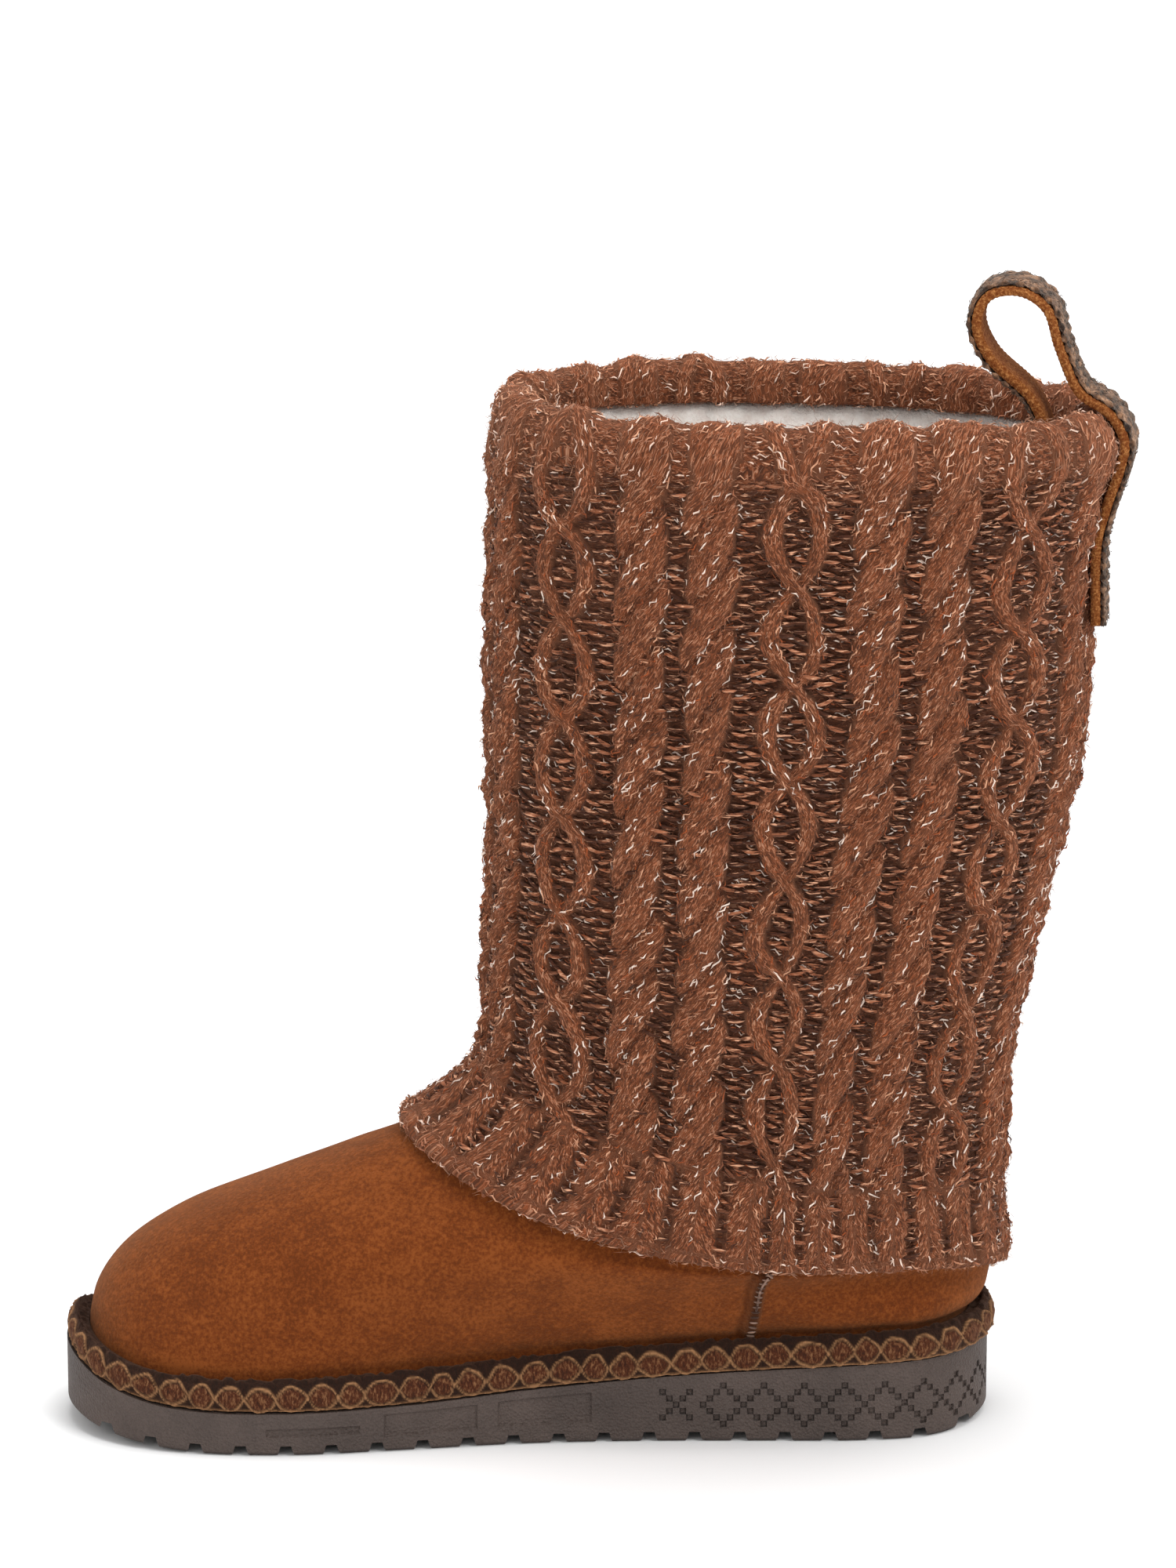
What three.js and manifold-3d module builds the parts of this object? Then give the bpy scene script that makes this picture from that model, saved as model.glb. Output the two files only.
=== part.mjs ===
// A slipper boot for the right foot, toe towards -X and inner side towards -Y, in millimetres.
// The suede-cloth upper is one hollow wall from the sole to the collar. A knitted sleeve is turned in
// over the collar and hangs down outside to a ribbed hem over the instep. A woven rand covers the joint
// of the upper and the wedge outsole, and a two-layer pull loop is sewn over the back of the collar.
import * as THREE from 'three';
import Module from 'manifold-3d';
import { mergeVertices } from 'three/addons/utils/BufferGeometryUtils.js';

// Driving sizes of the outsole
const LENGTH = 270; // toe tip to heel end
const HEEL_END = 41; // heel end, ahead of which the origin lies under the middle of the heel
const BALL_INNER = 46.8; // half width at the ball, inner side
const BALL_OUTER = 52; // half width at the ball, outer side
const TOE_THICKNESS = 12.6; // outsole at the forefoot
const HEEL_THICKNESS = 24.4; // outsole at the heel
const TOE_SPRING = 5.2; // lift of the tread at the toe tip
const TOE_SPRING_LENGTH = 50; // stretch of the tread that lifts
const HEEL_BEVEL = 1.6; // lift of the tread at the heel end
const HEEL_BEVEL_LENGTH = 16;
const TREAD_EDGE = 1.1; // chamfer round the tread
const LUG_PITCH = 13.1;
const FIRST_GROOVE = 7.9; // ahead of the heel end
const GROOVE_MOUTH = 4.8;
const GROOVE_FLOOR = 3.0;
const GROOVE_DEPTH = 2.9;

// Driving sizes of the upper, the pieces inside it and those round it
const GAP = 0.3; // clearance between pieces that touch
const FOLD_GAP = 0.7; // clearance of the sleeve's fold inside the collar
const SEAT_GAP = 0.45; // the same, over the curved top of the outsole
const WALL = 3; // suede cloth with its backing
const FEATHER_INSET = 6.6; // edge of the outsole to the foot of the upper
const SHAFT_LENGTH = 159.3; // collar of the upper, front to back
const SHAFT_HALF_WIDTH = 49.5;
const SHAFT_HEIGHT = 297; // floor to the edge of the upper inside the collar, at the front
const COLLAR_DROP = 6; // how much lower the edge is at the back
const HEM_DIP = 6.5; // how far the hem hangs lower at the back than beside it
const HEM_DIP_FALL = 14; // how soon the dip ends beside the back
const INSTEP_HEIGHT = 88; // floor to the top of the upper at the front of the hem
const SEAM_RAISE = 1.1; // raised side seam between vamp and quarter
const SEAM_TURN = Math.PI * 0.4;
const SEAM_HALF_TURN = 0.022;
const RAND_HEIGHT = 9;
const RAND_OVERHANG_HEEL = 1.4; // rand beyond the outsole's edge
const RAND_OVERHANG_TOE = -1;
const PANEL_DEPTH = 0.6; // plain sunk panels in the outsole's side
const INSOLE_THICKNESS = 4;

// Driving sizes of the knitted sleeve
const KNIT_BASE = 3.4; // wall in the purl gutters
const KNIT_CLEARANCE = 0.4; // sleeve to upper
const COLLAR_ROLL = 6.6; // top of the roll above the edge of the upper
const TURN_IN = 16; // depth of the sleeve inside the collar
const KNIT_REPEATS = 7;
const KNIT_START = 0.0837; // first step of the first repeat, as a share of the way round
const KNIT_SPREAD = 0.0116; // how much the knit is stretched on the inner side, as such a share
const KNIT_MIDDLE = Math.PI * 0.336; // turn of the cable in the middle of the stretched side
const RIBS_PER_REPEAT = 5;
const RIB_RAISE = 1.3;
const REPEAT = [ // one repeat round the shaft, in steps of one stitch pair
  { kind: 'chain', steps: 6, raise: 1.7 },
  { kind: 'purl', steps: 1, raise: 0 },
  { kind: 'rope', steps: 4, raise: 2.1 },
  { kind: 'purl', steps: 1, raise: 0 },
  { kind: 'rope', steps: 4, raise: 2.1 },
  { kind: 'purl', steps: 1, raise: 0 },
];

// Driving sizes of the pull loop
const STRAP_WIDTH = 18;
const BACKING_THICKNESS = 2;
const WEBBING_THICKNESS = 2.2;
const LOOP_HEIGHT = 34.2; // top of the loop above the roll of the collar
const LOOP_REACH = 31.3; // reach of the loop towards the toe, from the strap's tail
const STRAP_TAIL = 60; // sewn end below the roll of the collar, outside
const STRAP_TUCK = 24; // sewn end below the roll of the collar, inside
const STRAP_STANDOFF = 2.4; // strap to the sleeve at the tail
const STRAP_BEDDING = 3.6; // strap to the sleeve's fold, in the middle of the strap
const STRAP_YAW = 0.14;
const STRAP_SIDE = -4; // middle of the strap, towards the inner side

// Counts of facets
const OUTLINE_STEPS = 60;
const UPPER_STEPS = 56;

// Plan of the outsole: shares of LENGTH from the heel, and of the half widths at the ball
const OUTLINE = [
  { fromHeel: 0.0, inner: 0.0, outer: 0.0 },
  { fromHeel: 0.017, inner: 0.37, outer: 0.335 },
  { fromHeel: 0.067, inner: 0.645, outer: 0.585 },
  { fromHeel: 0.146, inner: 0.735, outer: 0.665 },
  { fromHeel: 0.25, inner: 0.74, outer: 0.69 },
  { fromHeel: 0.371, inner: 0.745, outer: 0.765 },
  { fromHeel: 0.5, inner: 0.79, outer: 0.88 },
  { fromHeel: 0.629, inner: 0.905, outer: 0.985 },
  { fromHeel: 0.75, inner: 1.0, outer: 0.985 },
  { fromHeel: 0.854, inner: 0.965, outer: 0.83 },
  { fromHeel: 0.933, inner: 0.81, outer: 0.6 },
  { fromHeel: 0.983, inner: 0.52, outer: 0.25 },
  { fromHeel: 1.0, inner: 0.12, outer: -0.108 },
];

// Top of the outsole: share of the rise from the forefoot's thickness to the heel's
const SEAT = [
  { fromHeel: 0.0, rise: 1.0 },
  { fromHeel: 0.15, rise: 0.88 },
  { fromHeel: 0.32, rise: 0.66 },
  { fromHeel: 0.47, rise: 0.38 },
  { fromHeel: 0.62, rise: 0.1 },
  { fromHeel: 0.76, rise: 0 },
  { fromHeel: 0.88, rise: 0.06 },
  { fromHeel: 0.95, rise: 0.4 },
  { fromHeel: 1.0, rise: 0.97 },
];

// Outer face of the rand: inset from its widest line, and share of RAND_HEIGHT
const RAND_SECTION = [
  { inset: 0.2, rise: 0.18 },
  { inset: 0, rise: 0.5 },
  { inset: 0.5, rise: 0.8 },
  { inset: 2.0, rise: 0.97 },
  { inset: 3.6, rise: 1 },
];
const RAND_FOOT_INSET = 1.0;

// Sunk panels in the side of the outsole: shares of LENGTH from the heel, and of the local thickness
const PANELS = [
  { from: 0.43, to: 0.53, low: 0.36, high: 0.8 },
  { from: 0.552, to: 0.652, low: 0.3, high: 0.82 },
  { from: 0.676, to: 0.776, low: 0.42, high: 0.68 },
];

// Rings of the upper, from the sole to the collar. Low rings follow the outsole's plan, and high ones
// are rounds. round: share of the round. toeLift and heelLift: height above the seat on a low ring.
// toeOut and heelOut: how far a low ring stands out from the foot of the upper. front, back and seam:
// ends of the round and place of the side seam, as shares of SHAFT_LENGTH from the origin. half: share
// of SHAFT_HALF_WIDTH. frontUp: height at the front, as a share of INSTEP_HEIGHT. backUp: the same at
// the back. sag: how late the ring climbs to its front. blunt: exponent of the round. dip: share of
// HEM_DIP. lean: how far its front lies to the inner side.
const RINGS = [
  { round: 0, toeLift: SEAT_GAP, heelLift: SEAT_GAP, toeOut: 0, heelOut: 0, front: 1.38, back: 0.25,
    seam: -0.19, half: 0.86, frontUp: 0.25, backUp: 0.4, sag: 1, blunt: 2.1, dip: 1, lean: 8 },
  { round: 0, toeLift: 8, heelLift: 8, toeOut: -0.3, heelOut: 1.2, front: 1.38, back: 0.255, seam: -0.187,
    half: 0.87, frontUp: 0.3, backUp: 0.44, sag: 1, blunt: 2.1, dip: 1, lean: 8 },
  { round: 0.05, toeLift: 12, heelLift: 10.6, toeOut: -0.7, heelOut: 4, front: 1.38, back: 0.26, seam: -0.183,
    half: 0.88, frontUp: 0.38, backUp: 0.475, sag: 1, blunt: 2.15, dip: 1, lean: 8 },
  { round: 0.22, toeLift: 17, heelLift: 13, toeOut: -1.4, heelOut: 5.6, front: 1.365, back: 0.262,
    seam: -0.178, half: 0.88, frontUp: 0.515, backUp: 0.508, sag: 1, blunt: 2.2, dip: 1, lean: 8 },
  { round: 0.48, toeLift: 22, heelLift: 15, toeOut: -2.4, heelOut: 6, front: 1.31, back: 0.262, seam: -0.172,
    half: 0.87, frontUp: 0.63, backUp: 0.525, sag: 1.2, blunt: 2.2, dip: 1, lean: 7.5 },
  { round: 0.76, toeLift: 27, heelLift: 17, toeOut: -3.4, heelOut: 6, front: 1.21, back: 0.262, seam: -0.167,
    half: 0.855, frontUp: 0.733, backUp: 0.542, sag: 1.6, blunt: 2.2, dip: 1, lean: 6.5 },
  { round: 1, toeLift: 30, heelLift: 19, toeOut: -4, heelOut: 6, front: 1.06, back: 0.262, seam: -0.16,
    half: 0.835, frontUp: 0.825, backUp: 0.56, sag: 2.1, blunt: 2.2, dip: 1, lean: 5 },
  { round: 1, toeLift: 30, heelLift: 19, toeOut: -4, heelOut: 6, front: 0.92, back: 0.263, seam: -0.153,
    half: 0.822, frontUp: 0.915, backUp: 0.58, sag: 2.7, blunt: 2.2, dip: 1, lean: 3.5 },
  { round: 1, toeLift: 30, heelLift: 19, toeOut: -4, heelOut: 6, front: 0.803, back: 0.27, seam: -0.147,
    half: 0.815, frontUp: 0.995, backUp: 0.61, sag: 3.1, blunt: 2.2, dip: 1, lean: 2.5 },
  { round: 1, toeLift: 30, heelLift: 19, toeOut: -4, heelOut: 6, front: 0.7, back: 0.258, seam: -0.142,
    half: 0.813, frontUp: 1.12, backUp: 0.77, sag: 2.6, blunt: 2.2, dip: 1, lean: 1.5 },
  { round: 1, toeLift: 30, heelLift: 19, toeOut: -4, heelOut: 6, front: 0.64, back: 0.25, seam: -0.137,
    half: 0.822, frontUp: 1.28, backUp: 0.96, sag: 2, blunt: 2.2, dip: 0.6, lean: 1 },
  { round: 1, toeLift: 30, heelLift: 19, toeOut: -4, heelOut: 6, front: 0.635, back: 0.259, seam: -0.13,
    half: 0.852, frontUp: 1.55, backUp: 1.27, sag: 1.5, blunt: 2.25, dip: 0, lean: 0 },
  { round: 1, toeLift: 30, heelLift: 19, toeOut: -4, heelOut: 6, front: 0.624, back: 0.32, seam: -0.118,
    half: 0.915, frontUp: 1.97, backUp: 1.8, sag: 1.2, blunt: 2.3, dip: 0, lean: 0 },
  { round: 1, toeLift: 30, heelLift: 19, toeOut: -4, heelOut: 6, front: 0.624, back: 0.378, seam: -0.107,
    half: 0.962, frontUp: 2.42, backUp: 2.33, sag: 1, blunt: 2.35, dip: 0, lean: 0 },
  { round: 1, toeLift: 30, heelLift: 19, toeOut: -4, heelOut: 6, front: 0.623, back: 0.385, seam: -0.099,
    half: 0.988, frontUp: 2.87, backUp: 2.84, sag: 0.8, blunt: 2.35, dip: 0, lean: 0 },
  { round: 1, toeLift: 30, heelLift: 19, toeOut: -4, heelOut: 6, front: 0.619, back: 0.427, seam: -0.094,
    half: 1, frontUp: SHAFT_HEIGHT / INSTEP_HEIGHT, backUp: (SHAFT_HEIGHT - COLLAR_DROP) / INSTEP_HEIGHT,
    sag: 0.5, blunt: 2.35, dip: 0, lean: 0 },
];
const RING_COLUMNS = Object.keys(RINGS[0]);
const RAND_RING = 1;
const HEM_RING = 8;
const RIB_TOP_RING = 9.7;
const COLLAR_RING = RINGS.length - 1;
const MID_SHAFT_RING = 13;
const TOP_SPACING = SHAFT_HEIGHT - INSTEP_HEIGHT * RINGS[COLLAR_RING - 1].frontUp;
const FOLD_RING = COLLAR_RING - TURN_IN / TOP_SPACING;
const RIB_END = [RIB_TOP_RING - 0.3, RIB_TOP_RING + 0.2]; // where ribs turn into cables
const ROLL_START = COLLAR_RING - 0.15;
// Places of the rows of facets: outside below the hem, outside behind the sleeve, and inside
const FOOT_PLACES = [0, RAND_RING, 1.8, 2.6, 3.4, 4.2, 5, 6, 7];
const SHAFT_PLACES = [HEM_RING, 9, 10, 11.3, 12.6, 14, COLLAR_RING];
const LINING_PLACES = [14, 12.6, 11.3, 10, 9, 8, 6, 4.5, 3, 1.5, 0];

const COLOURS = {
  suede: 0x9a5426,
  knit: 0x8a5540,
  rand: 0x5a3826,
  outsole: 0x5d5450,
  insole: 0xcfc6bf,
  webbing: 0x6e4a34,
};

// The free part of the pull loop: shares of LOOP_REACH towards the toe and of LOOP_HEIGHT
const LOOP = [
  { reach: -0.08, rise: -0.74 },
  { reach: -0.205, rise: -0.38 },
  { reach: -0.23, rise: -0.2 },
  { reach: -0.11, rise: 0 },
  { reach: 0.17, rise: 0.18 },
  { reach: 0.37, rise: 0.57 },
  { reach: 0.486, rise: 0.88 },
  { reach: 0.7, rise: 1 },
  { reach: 0.946, rise: 0.96 },
  { reach: 1.03, rise: 0.76 },
  { reach: 0.917, rise: 0.51 },
  { reach: 0.534, rise: 0.17 },
];

const { Manifold, Mesh: SolidMesh } = await loadSolids();

async function loadSolids() {
  const wasm = await Module();
  wasm.setup();
  return wasm;
}

// The value of a table's column at a place along its key, on a smooth curve through the rows.
function follow(table, key, column, place) {
  const last = table.length - 1;
  const at = THREE.MathUtils.clamp(place, table[0][key], table[last][key]);
  const next = Math.max(1, table.findIndex((row) => row[key] >= at));
  const slope = (i) => {
    const a = table[Math.max(i - 1, 0)];
    const b = table[Math.min(i + 1, last)];
    return (b[column] - a[column]) / (b[key] - a[key]);
  };
  const [low, high] = [table[next - 1], table[next]];
  const span = high[key] - low[key];
  const t = (at - low[key]) / span;
  const bend = slope(next - 1) * span * t * (1 - t) ** 2 - slope(next) * span * t * t * (1 - t);
  return low[column] * (1 + 2 * t) * (1 - t) ** 2 + high[column] * t * t * (3 - 2 * t) + bend;
}

const outlineByTurn = OUTLINE.map((row) => ({ ...row, turn: Math.acos(1 - 2 * row.fromHeel) }));
const fromHeel = (x) => (HEEL_END - x) / LENGTH;
const isInner = (turn) => turn <= Math.PI;
const halfTurn = (turn) => (isInner(turn) ? turn : 2 * Math.PI - turn);

// Plan of the outsole at a turn: 0 at the heel end, through the inner side to the toe tip at pi, and back.
function outlinePoint(turn) {
  const x = HEEL_END - LENGTH * (1 - Math.cos(halfTurn(turn))) / 2;
  const y = isInner(turn)
    ? -BALL_INNER * follow(outlineByTurn, 'turn', 'inner', halfTurn(turn))
    : BALL_OUTER * follow(outlineByTurn, 'turn', 'outer', halfTurn(turn));
  return new THREE.Vector2(x, y);
}

function wrap(turn) {
  return ((turn % (2 * Math.PI)) + 2 * Math.PI) % (2 * Math.PI);
}

// The plan moved inwards, square to its edge.
function insetPoint(turn, inset) {
  const step = 0.03;
  const along = outlinePoint(wrap(turn + step)).sub(outlinePoint(wrap(turn - step))).normalize();
  return outlinePoint(wrap(turn)).add(new THREE.Vector2(along.y, -along.x).multiplyScalar(inset));
}

function treadHeight(x) {
  const toe = Math.max(0, HEEL_END - LENGTH + TOE_SPRING_LENGTH - x) / TOE_SPRING_LENGTH;
  const heel = Math.max(0, x - HEEL_END + HEEL_BEVEL_LENGTH) / HEEL_BEVEL_LENGTH;
  return TOE_SPRING * toe * toe + HEEL_BEVEL * heel * heel;
}

function seatHeight(x) {
  return TOE_THICKNESS + (HEEL_THICKNESS - TOE_THICKNESS) * follow(SEAT, 'fromHeel', 'rise', fromHeel(x));
}

const ringTable = RINGS.map((ring, index) => ({ ...ring, index }));

function ringAt(place) {
  const columnAt = (column) => [column, follow(ringTable, 'index', column, place)];
  return Object.fromEntries(RING_COLUMNS.map(columnAt));
}

function squared(value, power) {
  return Math.sign(value) * Math.abs(value) ** power;
}

// The turn at which a ring meets the side seam, so that the seam runs straight up the side.
function seamTurn(ring) {
  const x = ring.seam * SHAFT_LENGTH;
  const share = (ring.back - ring.seam) / (ring.back + ring.front);
  const low = Math.acos(1 - 2 * fromHeel(x));
  const high = Math.acos(squared(1 - 2 * share, ring.blunt / 2));
  return THREE.MathUtils.lerp(low, high, ring.round);
}

// Turns are stretched from the heel to the seam, and from the seam to the toe.
function turnOnRing(turn, ring) {
  const half = halfTurn(turn);
  const seam = seamTurn(ring);
  const stretched = half < SEAM_TURN
    ? (half * seam) / SEAM_TURN
    : Math.PI - ((Math.PI - half) * (Math.PI - seam)) / (Math.PI - SEAM_TURN);
  return isInner(turn) ? stretched : 2 * Math.PI - stretched;
}

// A point of the upper's outer face, at a turn and at a place between two rings.
function upperPoint(turn, place) {
  const ring = ringAt(place);
  const around = wrap(turnOnRing(wrap(turn), ring));
  const toToe = (1 - Math.cos(around)) / 2;
  const low = insetPoint(around, FEATHER_INSET - THREE.MathUtils.lerp(ring.heelOut, ring.toeOut, toToe));
  const lowHeight = seatHeight(low.x) + THREE.MathUtils.lerp(ring.heelLift, ring.toeLift, toToe);
  const share = (1 - squared(Math.cos(around), 2 / ring.blunt)) / 2;
  const highX = SHAFT_LENGTH * THREE.MathUtils.lerp(ring.back, -ring.front, share);
  const side = -ring.half * SHAFT_HALF_WIDTH * squared(Math.sin(around), 2 / ring.blunt);
  const highY = side - ring.lean * share ** 3;
  const climb = INSTEP_HEIGHT * THREE.MathUtils.lerp(ring.backUp, ring.frontUp, share ** ring.sag);
  const highHeight = climb - ring.dip * HEM_DIP * (1 - share) ** HEM_DIP_FALL;
  return new THREE.Vector3(
    THREE.MathUtils.lerp(low.x, highX, ring.round),
    THREE.MathUtils.lerp(low.y, highY, ring.round),
    THREE.MathUtils.lerp(lowHeight, highHeight, ring.round),
  );
}

// The same, moved out along the face's normal. Above the last ring it goes straight up.
function wallPoint(turn, place, out) {
  const ring = THREE.MathUtils.clamp(place, 0, COLLAR_RING);
  const [turnStep, ringStep] = [0.02, 0.05];
  const around = upperPoint(turn + turnStep, ring).sub(upperPoint(turn - turnStep, ring));
  const above = upperPoint(turn, Math.min(ring + ringStep, COLLAR_RING));
  const up = above.sub(upperPoint(turn, Math.max(ring - ringStep, 0)));
  const normal = up.cross(around).normalize();
  return upperPoint(turn, ring).addScaledVector(normal, out);
}

function collarPoint(turn, out, rise) {
  const step = 0.02;
  const along = upperPoint(turn + step, COLLAR_RING).sub(upperPoint(turn - step, COLLAR_RING));
  const outwards = new THREE.Vector3(-along.y, along.x, 0).normalize();
  return upperPoint(turn, COLLAR_RING).addScaledVector(outwards, out).add(new THREE.Vector3(0, 0, rise));
}

// How far the side seam raises the upper at a turn, on the part of the upper that shows.
function seamRaise(turn, place) {
  const away = Math.abs(halfTurn(turn) - SEAM_TURN) / SEAM_HALF_TURN;
  const belowHem = THREE.MathUtils.smoothstep(HEM_RING - 0.6 - place, 0, 1);
  const shown = belowHem * THREE.MathUtils.clamp((place - RAND_RING) / 0.8, 0, 1);
  return SEAM_RAISE * Math.max(0, 1 - away) * shown;
}

function geometryFrom(points, faces) {
  const flat = new Float32Array(points.flatMap((p) => [p.x, p.y, p.z]));
  const geometry = new THREE.BufferGeometry();
  geometry.setAttribute('position', new THREE.BufferAttribute(flat, 3));
  const isInsideOut = signedVolume(points, faces) < 0;
  geometry.setIndex(faces.flatMap(([a, b, c]) => (isInsideOut ? [a, c, b] : [a, b, c])));
  return geometry;
}

function signedVolume(points, faces) {
  return faces.reduce((sum, [a, b, c]) => sum + points[a].dot(points[b].clone().cross(points[c])) / 6, 0);
}

// A wall that closes on itself both ways: turns run round the boot, and profile has its section's points.
function ringWall(turns, profile) {
  const points = turns.flatMap((turn, i) => profile.map((point) => point(turn, i)));
  const [nTurns, nProfile] = [turns.length, profile.length];
  const faces = [];
  for (let i = 0; i < nTurns; i += 1) {
    for (let j = 0; j < nProfile; j += 1) {
      const a = i * nProfile + j;
      const b = i * nProfile + ((j + 1) % nProfile);
      const c = ((i + 1) % nTurns) * nProfile + ((j + 1) % nProfile);
      const d = ((i + 1) % nTurns) * nProfile + j;
      faces.push([a, b, c], [a, c, d]);
    }
  }
  return geometryFrom(points, faces);
}

// A plate of stacked rings, closed below and above by strips that run straight across the boot.
function plate(turns, levels) {
  const count = turns.length;
  const points = levels.flatMap((level) => turns.map(level));
  const faces = [];
  for (let k = 0; k + 1 < levels.length; k += 1) {
    for (let i = 0; i < count; i += 1) {
      const [a, b] = [k * count + i, k * count + ((i + 1) % count)];
      faces.push([a, b, b + count], [a, b + count, a + count]);
    }
  }
  const top = (levels.length - 1) * count;
  for (let i = 0; i < count / 2; i += 1) {
    const [a, b, c, d] = [i, i + 1, count - i - 1, (count - i) % count];
    if (b !== c) faces.push([b, a, c], [top + a, top + b, top + c]);
    if (a !== d) faces.push([c, a, d], [top + a, top + c, top + d]);
  }
  return geometryFrom(points, faces);
}

function solidFrom(geometry) {
  const bare = geometry.clone();
  bare.deleteAttribute('normal');
  bare.deleteAttribute('uv');
  const merged = mergeVertices(bare, 1e-4);
  const vertProperties = Float32Array.from(merged.attributes.position.array);
  const triVerts = Uint32Array.from(merged.index.array);
  return new Manifold(new SolidMesh({ numProp: 3, vertProperties, triVerts }));
}

function geometryOf(solid) {
  const mesh = solid.getMesh();
  const geometry = new THREE.BufferGeometry();
  geometry.setAttribute('position', new THREE.BufferAttribute(mesh.vertProperties, 3));
  geometry.setIndex(new THREE.BufferAttribute(mesh.triVerts, 1));
  return geometry;
}

function evenTurns(count) {
  return Array.from({ length: count }, (_, i) => (2 * Math.PI * i) / count);
}

function outsole() {
  const level = (inset, height) => (turn) => {
    const p = insetPoint(turn, inset);
    return new THREE.Vector3(p.x, p.y, height(p.x));
  };
  const body = plate(evenTurns(OUTLINE_STEPS), [
    level(TREAD_EDGE, treadHeight),
    level(0, (x) => treadHeight(x) + TREAD_EDGE),
    level(0, seatHeight),
  ]);
  const count = Math.floor((LENGTH - FIRST_GROOVE) / LUG_PITCH);
  const grooveAt = (i) => groove(HEEL_END - FIRST_GROOVE - LUG_PITCH * i);
  const grooves = Array.from({ length: count }, (_, i) => solidFrom(grooveAt(i)));
  const panels = PANELS.flatMap((row) => [sidePanel(row, false), sidePanel(row, true)]).map(solidFrom);
  return geometryOf([...grooves, ...panels].reduce((solid, cut) => solid.subtract(cut), solidFrom(body)));
}

// The cut of one sunk panel: a curved bar that reaches a little into the side.
function sidePanel(row, outer) {
  const [columns, overrun] = [5, 1.5];
  const turns = Array.from({ length: columns }, (_, i) => {
    const turn = Math.acos(1 - 2 * THREE.MathUtils.lerp(row.from, row.to, i / (columns - 1)));
    return outer ? 2 * Math.PI - turn : turn;
  });
  const corners = [
    { inset: PANEL_DEPTH, share: row.low },
    { inset: -overrun, share: row.low },
    { inset: -overrun, share: row.high },
    { inset: PANEL_DEPTH, share: row.high },
  ];
  const points = turns.flatMap((turn) => corners.map(({ inset, share }) => {
    const p = insetPoint(turn, inset);
    return new THREE.Vector3(p.x, p.y, share * seatHeight(p.x));
  }));
  const last = 4 * (columns - 1);
  const faces = [[0, 1, 2], [0, 2, 3], [last + 2, last + 1, last], [last + 3, last + 2, last]];
  for (let i = 0; i < last; i += 4) {
    for (let j = 0; j < 4; j += 1) {
      const k = (j + 1) % 4;
      faces.push([i + j, i + 4 + j, i + 4 + k], [i + j, i + 4 + k, i + k]);
    }
  }
  return geometryFrom(points, faces);
}

// One groove right across the tread, wider at its mouth.
function groove(x) {
  const overrun = 2;
  const spread = ((GROOVE_MOUTH - GROOVE_FLOOR) / 2) * (1 + overrun / GROOVE_DEPTH);
  const section = new THREE.Shape([
    new THREE.Vector2(-GROOVE_FLOOR / 2, GROOVE_DEPTH),
    new THREE.Vector2(-GROOVE_FLOOR / 2 - spread, -overrun),
    new THREE.Vector2(GROOVE_FLOOR / 2 + spread, -overrun),
    new THREE.Vector2(GROOVE_FLOOR / 2, GROOVE_DEPTH),
  ]);
  const reach = BALL_INNER + BALL_OUTER;
  const cut = new THREE.ExtrudeGeometry(section, { depth: 2 * reach, bevelEnabled: false });
  return cut.rotateX(Math.PI / 2).translate(x, reach, treadHeight(x));
}

function rand() {
  const outer = (turn, inset, height) => {
    const around = turnOnRing(turn, ringAt(0));
    const overhang = THREE.MathUtils.lerp(RAND_OVERHANG_HEEL, RAND_OVERHANG_TOE, (1 - Math.cos(around)) / 2);
    const p = insetPoint(around, inset - overhang);
    return new THREE.Vector3(p.x, p.y, seatHeight(p.x) + height);
  };
  return ringWall(upperTurns(), [
    (turn) => wallPoint(turn, 0, GAP),
    (turn) => outer(turn, RAND_FOOT_INSET, SEAT_GAP),
    ...RAND_SECTION.map((row) => (turn) => outer(turn, row.inset, row.rise * RAND_HEIGHT)),
    (turn) => wallPoint(turn, RAND_RING, GAP),
  ]);
}

function insole() {
  const inset = FEATHER_INSET + WALL + 2 * GAP;
  const level = (height) => (turn) => {
    const p = insetPoint(turn, inset);
    return new THREE.Vector3(p.x, p.y, seatHeight(p.x) + height);
  };
  return plate(evenTurns(UPPER_STEPS), [level(SEAT_GAP), level(SEAT_GAP + INSOLE_THICKNESS)]);
}

// Even turns round the boot, with three close ones at each side seam.
function upperTurns() {
  const seams = [SEAM_TURN, 2 * Math.PI - SEAM_TURN];
  const atSeams = seams.flatMap((turn) => [turn - SEAM_HALF_TURN, turn, turn + SEAM_HALF_TURN]);
  const isClear = (turn) => seams.every((seam) => Math.abs(turn - seam) > 2 * SEAM_HALF_TURN);
  return [...evenTurns(UPPER_STEPS).filter(isClear), ...atSeams].sort((a, b) => a - b);
}

function upper() {
  const outside = (place) => (turn) => wallPoint(turn, place, seamRaise(turn, place));
  const inside = (place) => (turn) => wallPoint(turn, place, -WALL);
  return ringWall(upperTurns(), [
    ...[...FOOT_PLACES, ...SHAFT_PLACES].map(outside),
    (turn) => collarPoint(turn, -WALL, 0),
    ...LINING_PLACES.map(inside),
  ]);
}

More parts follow.
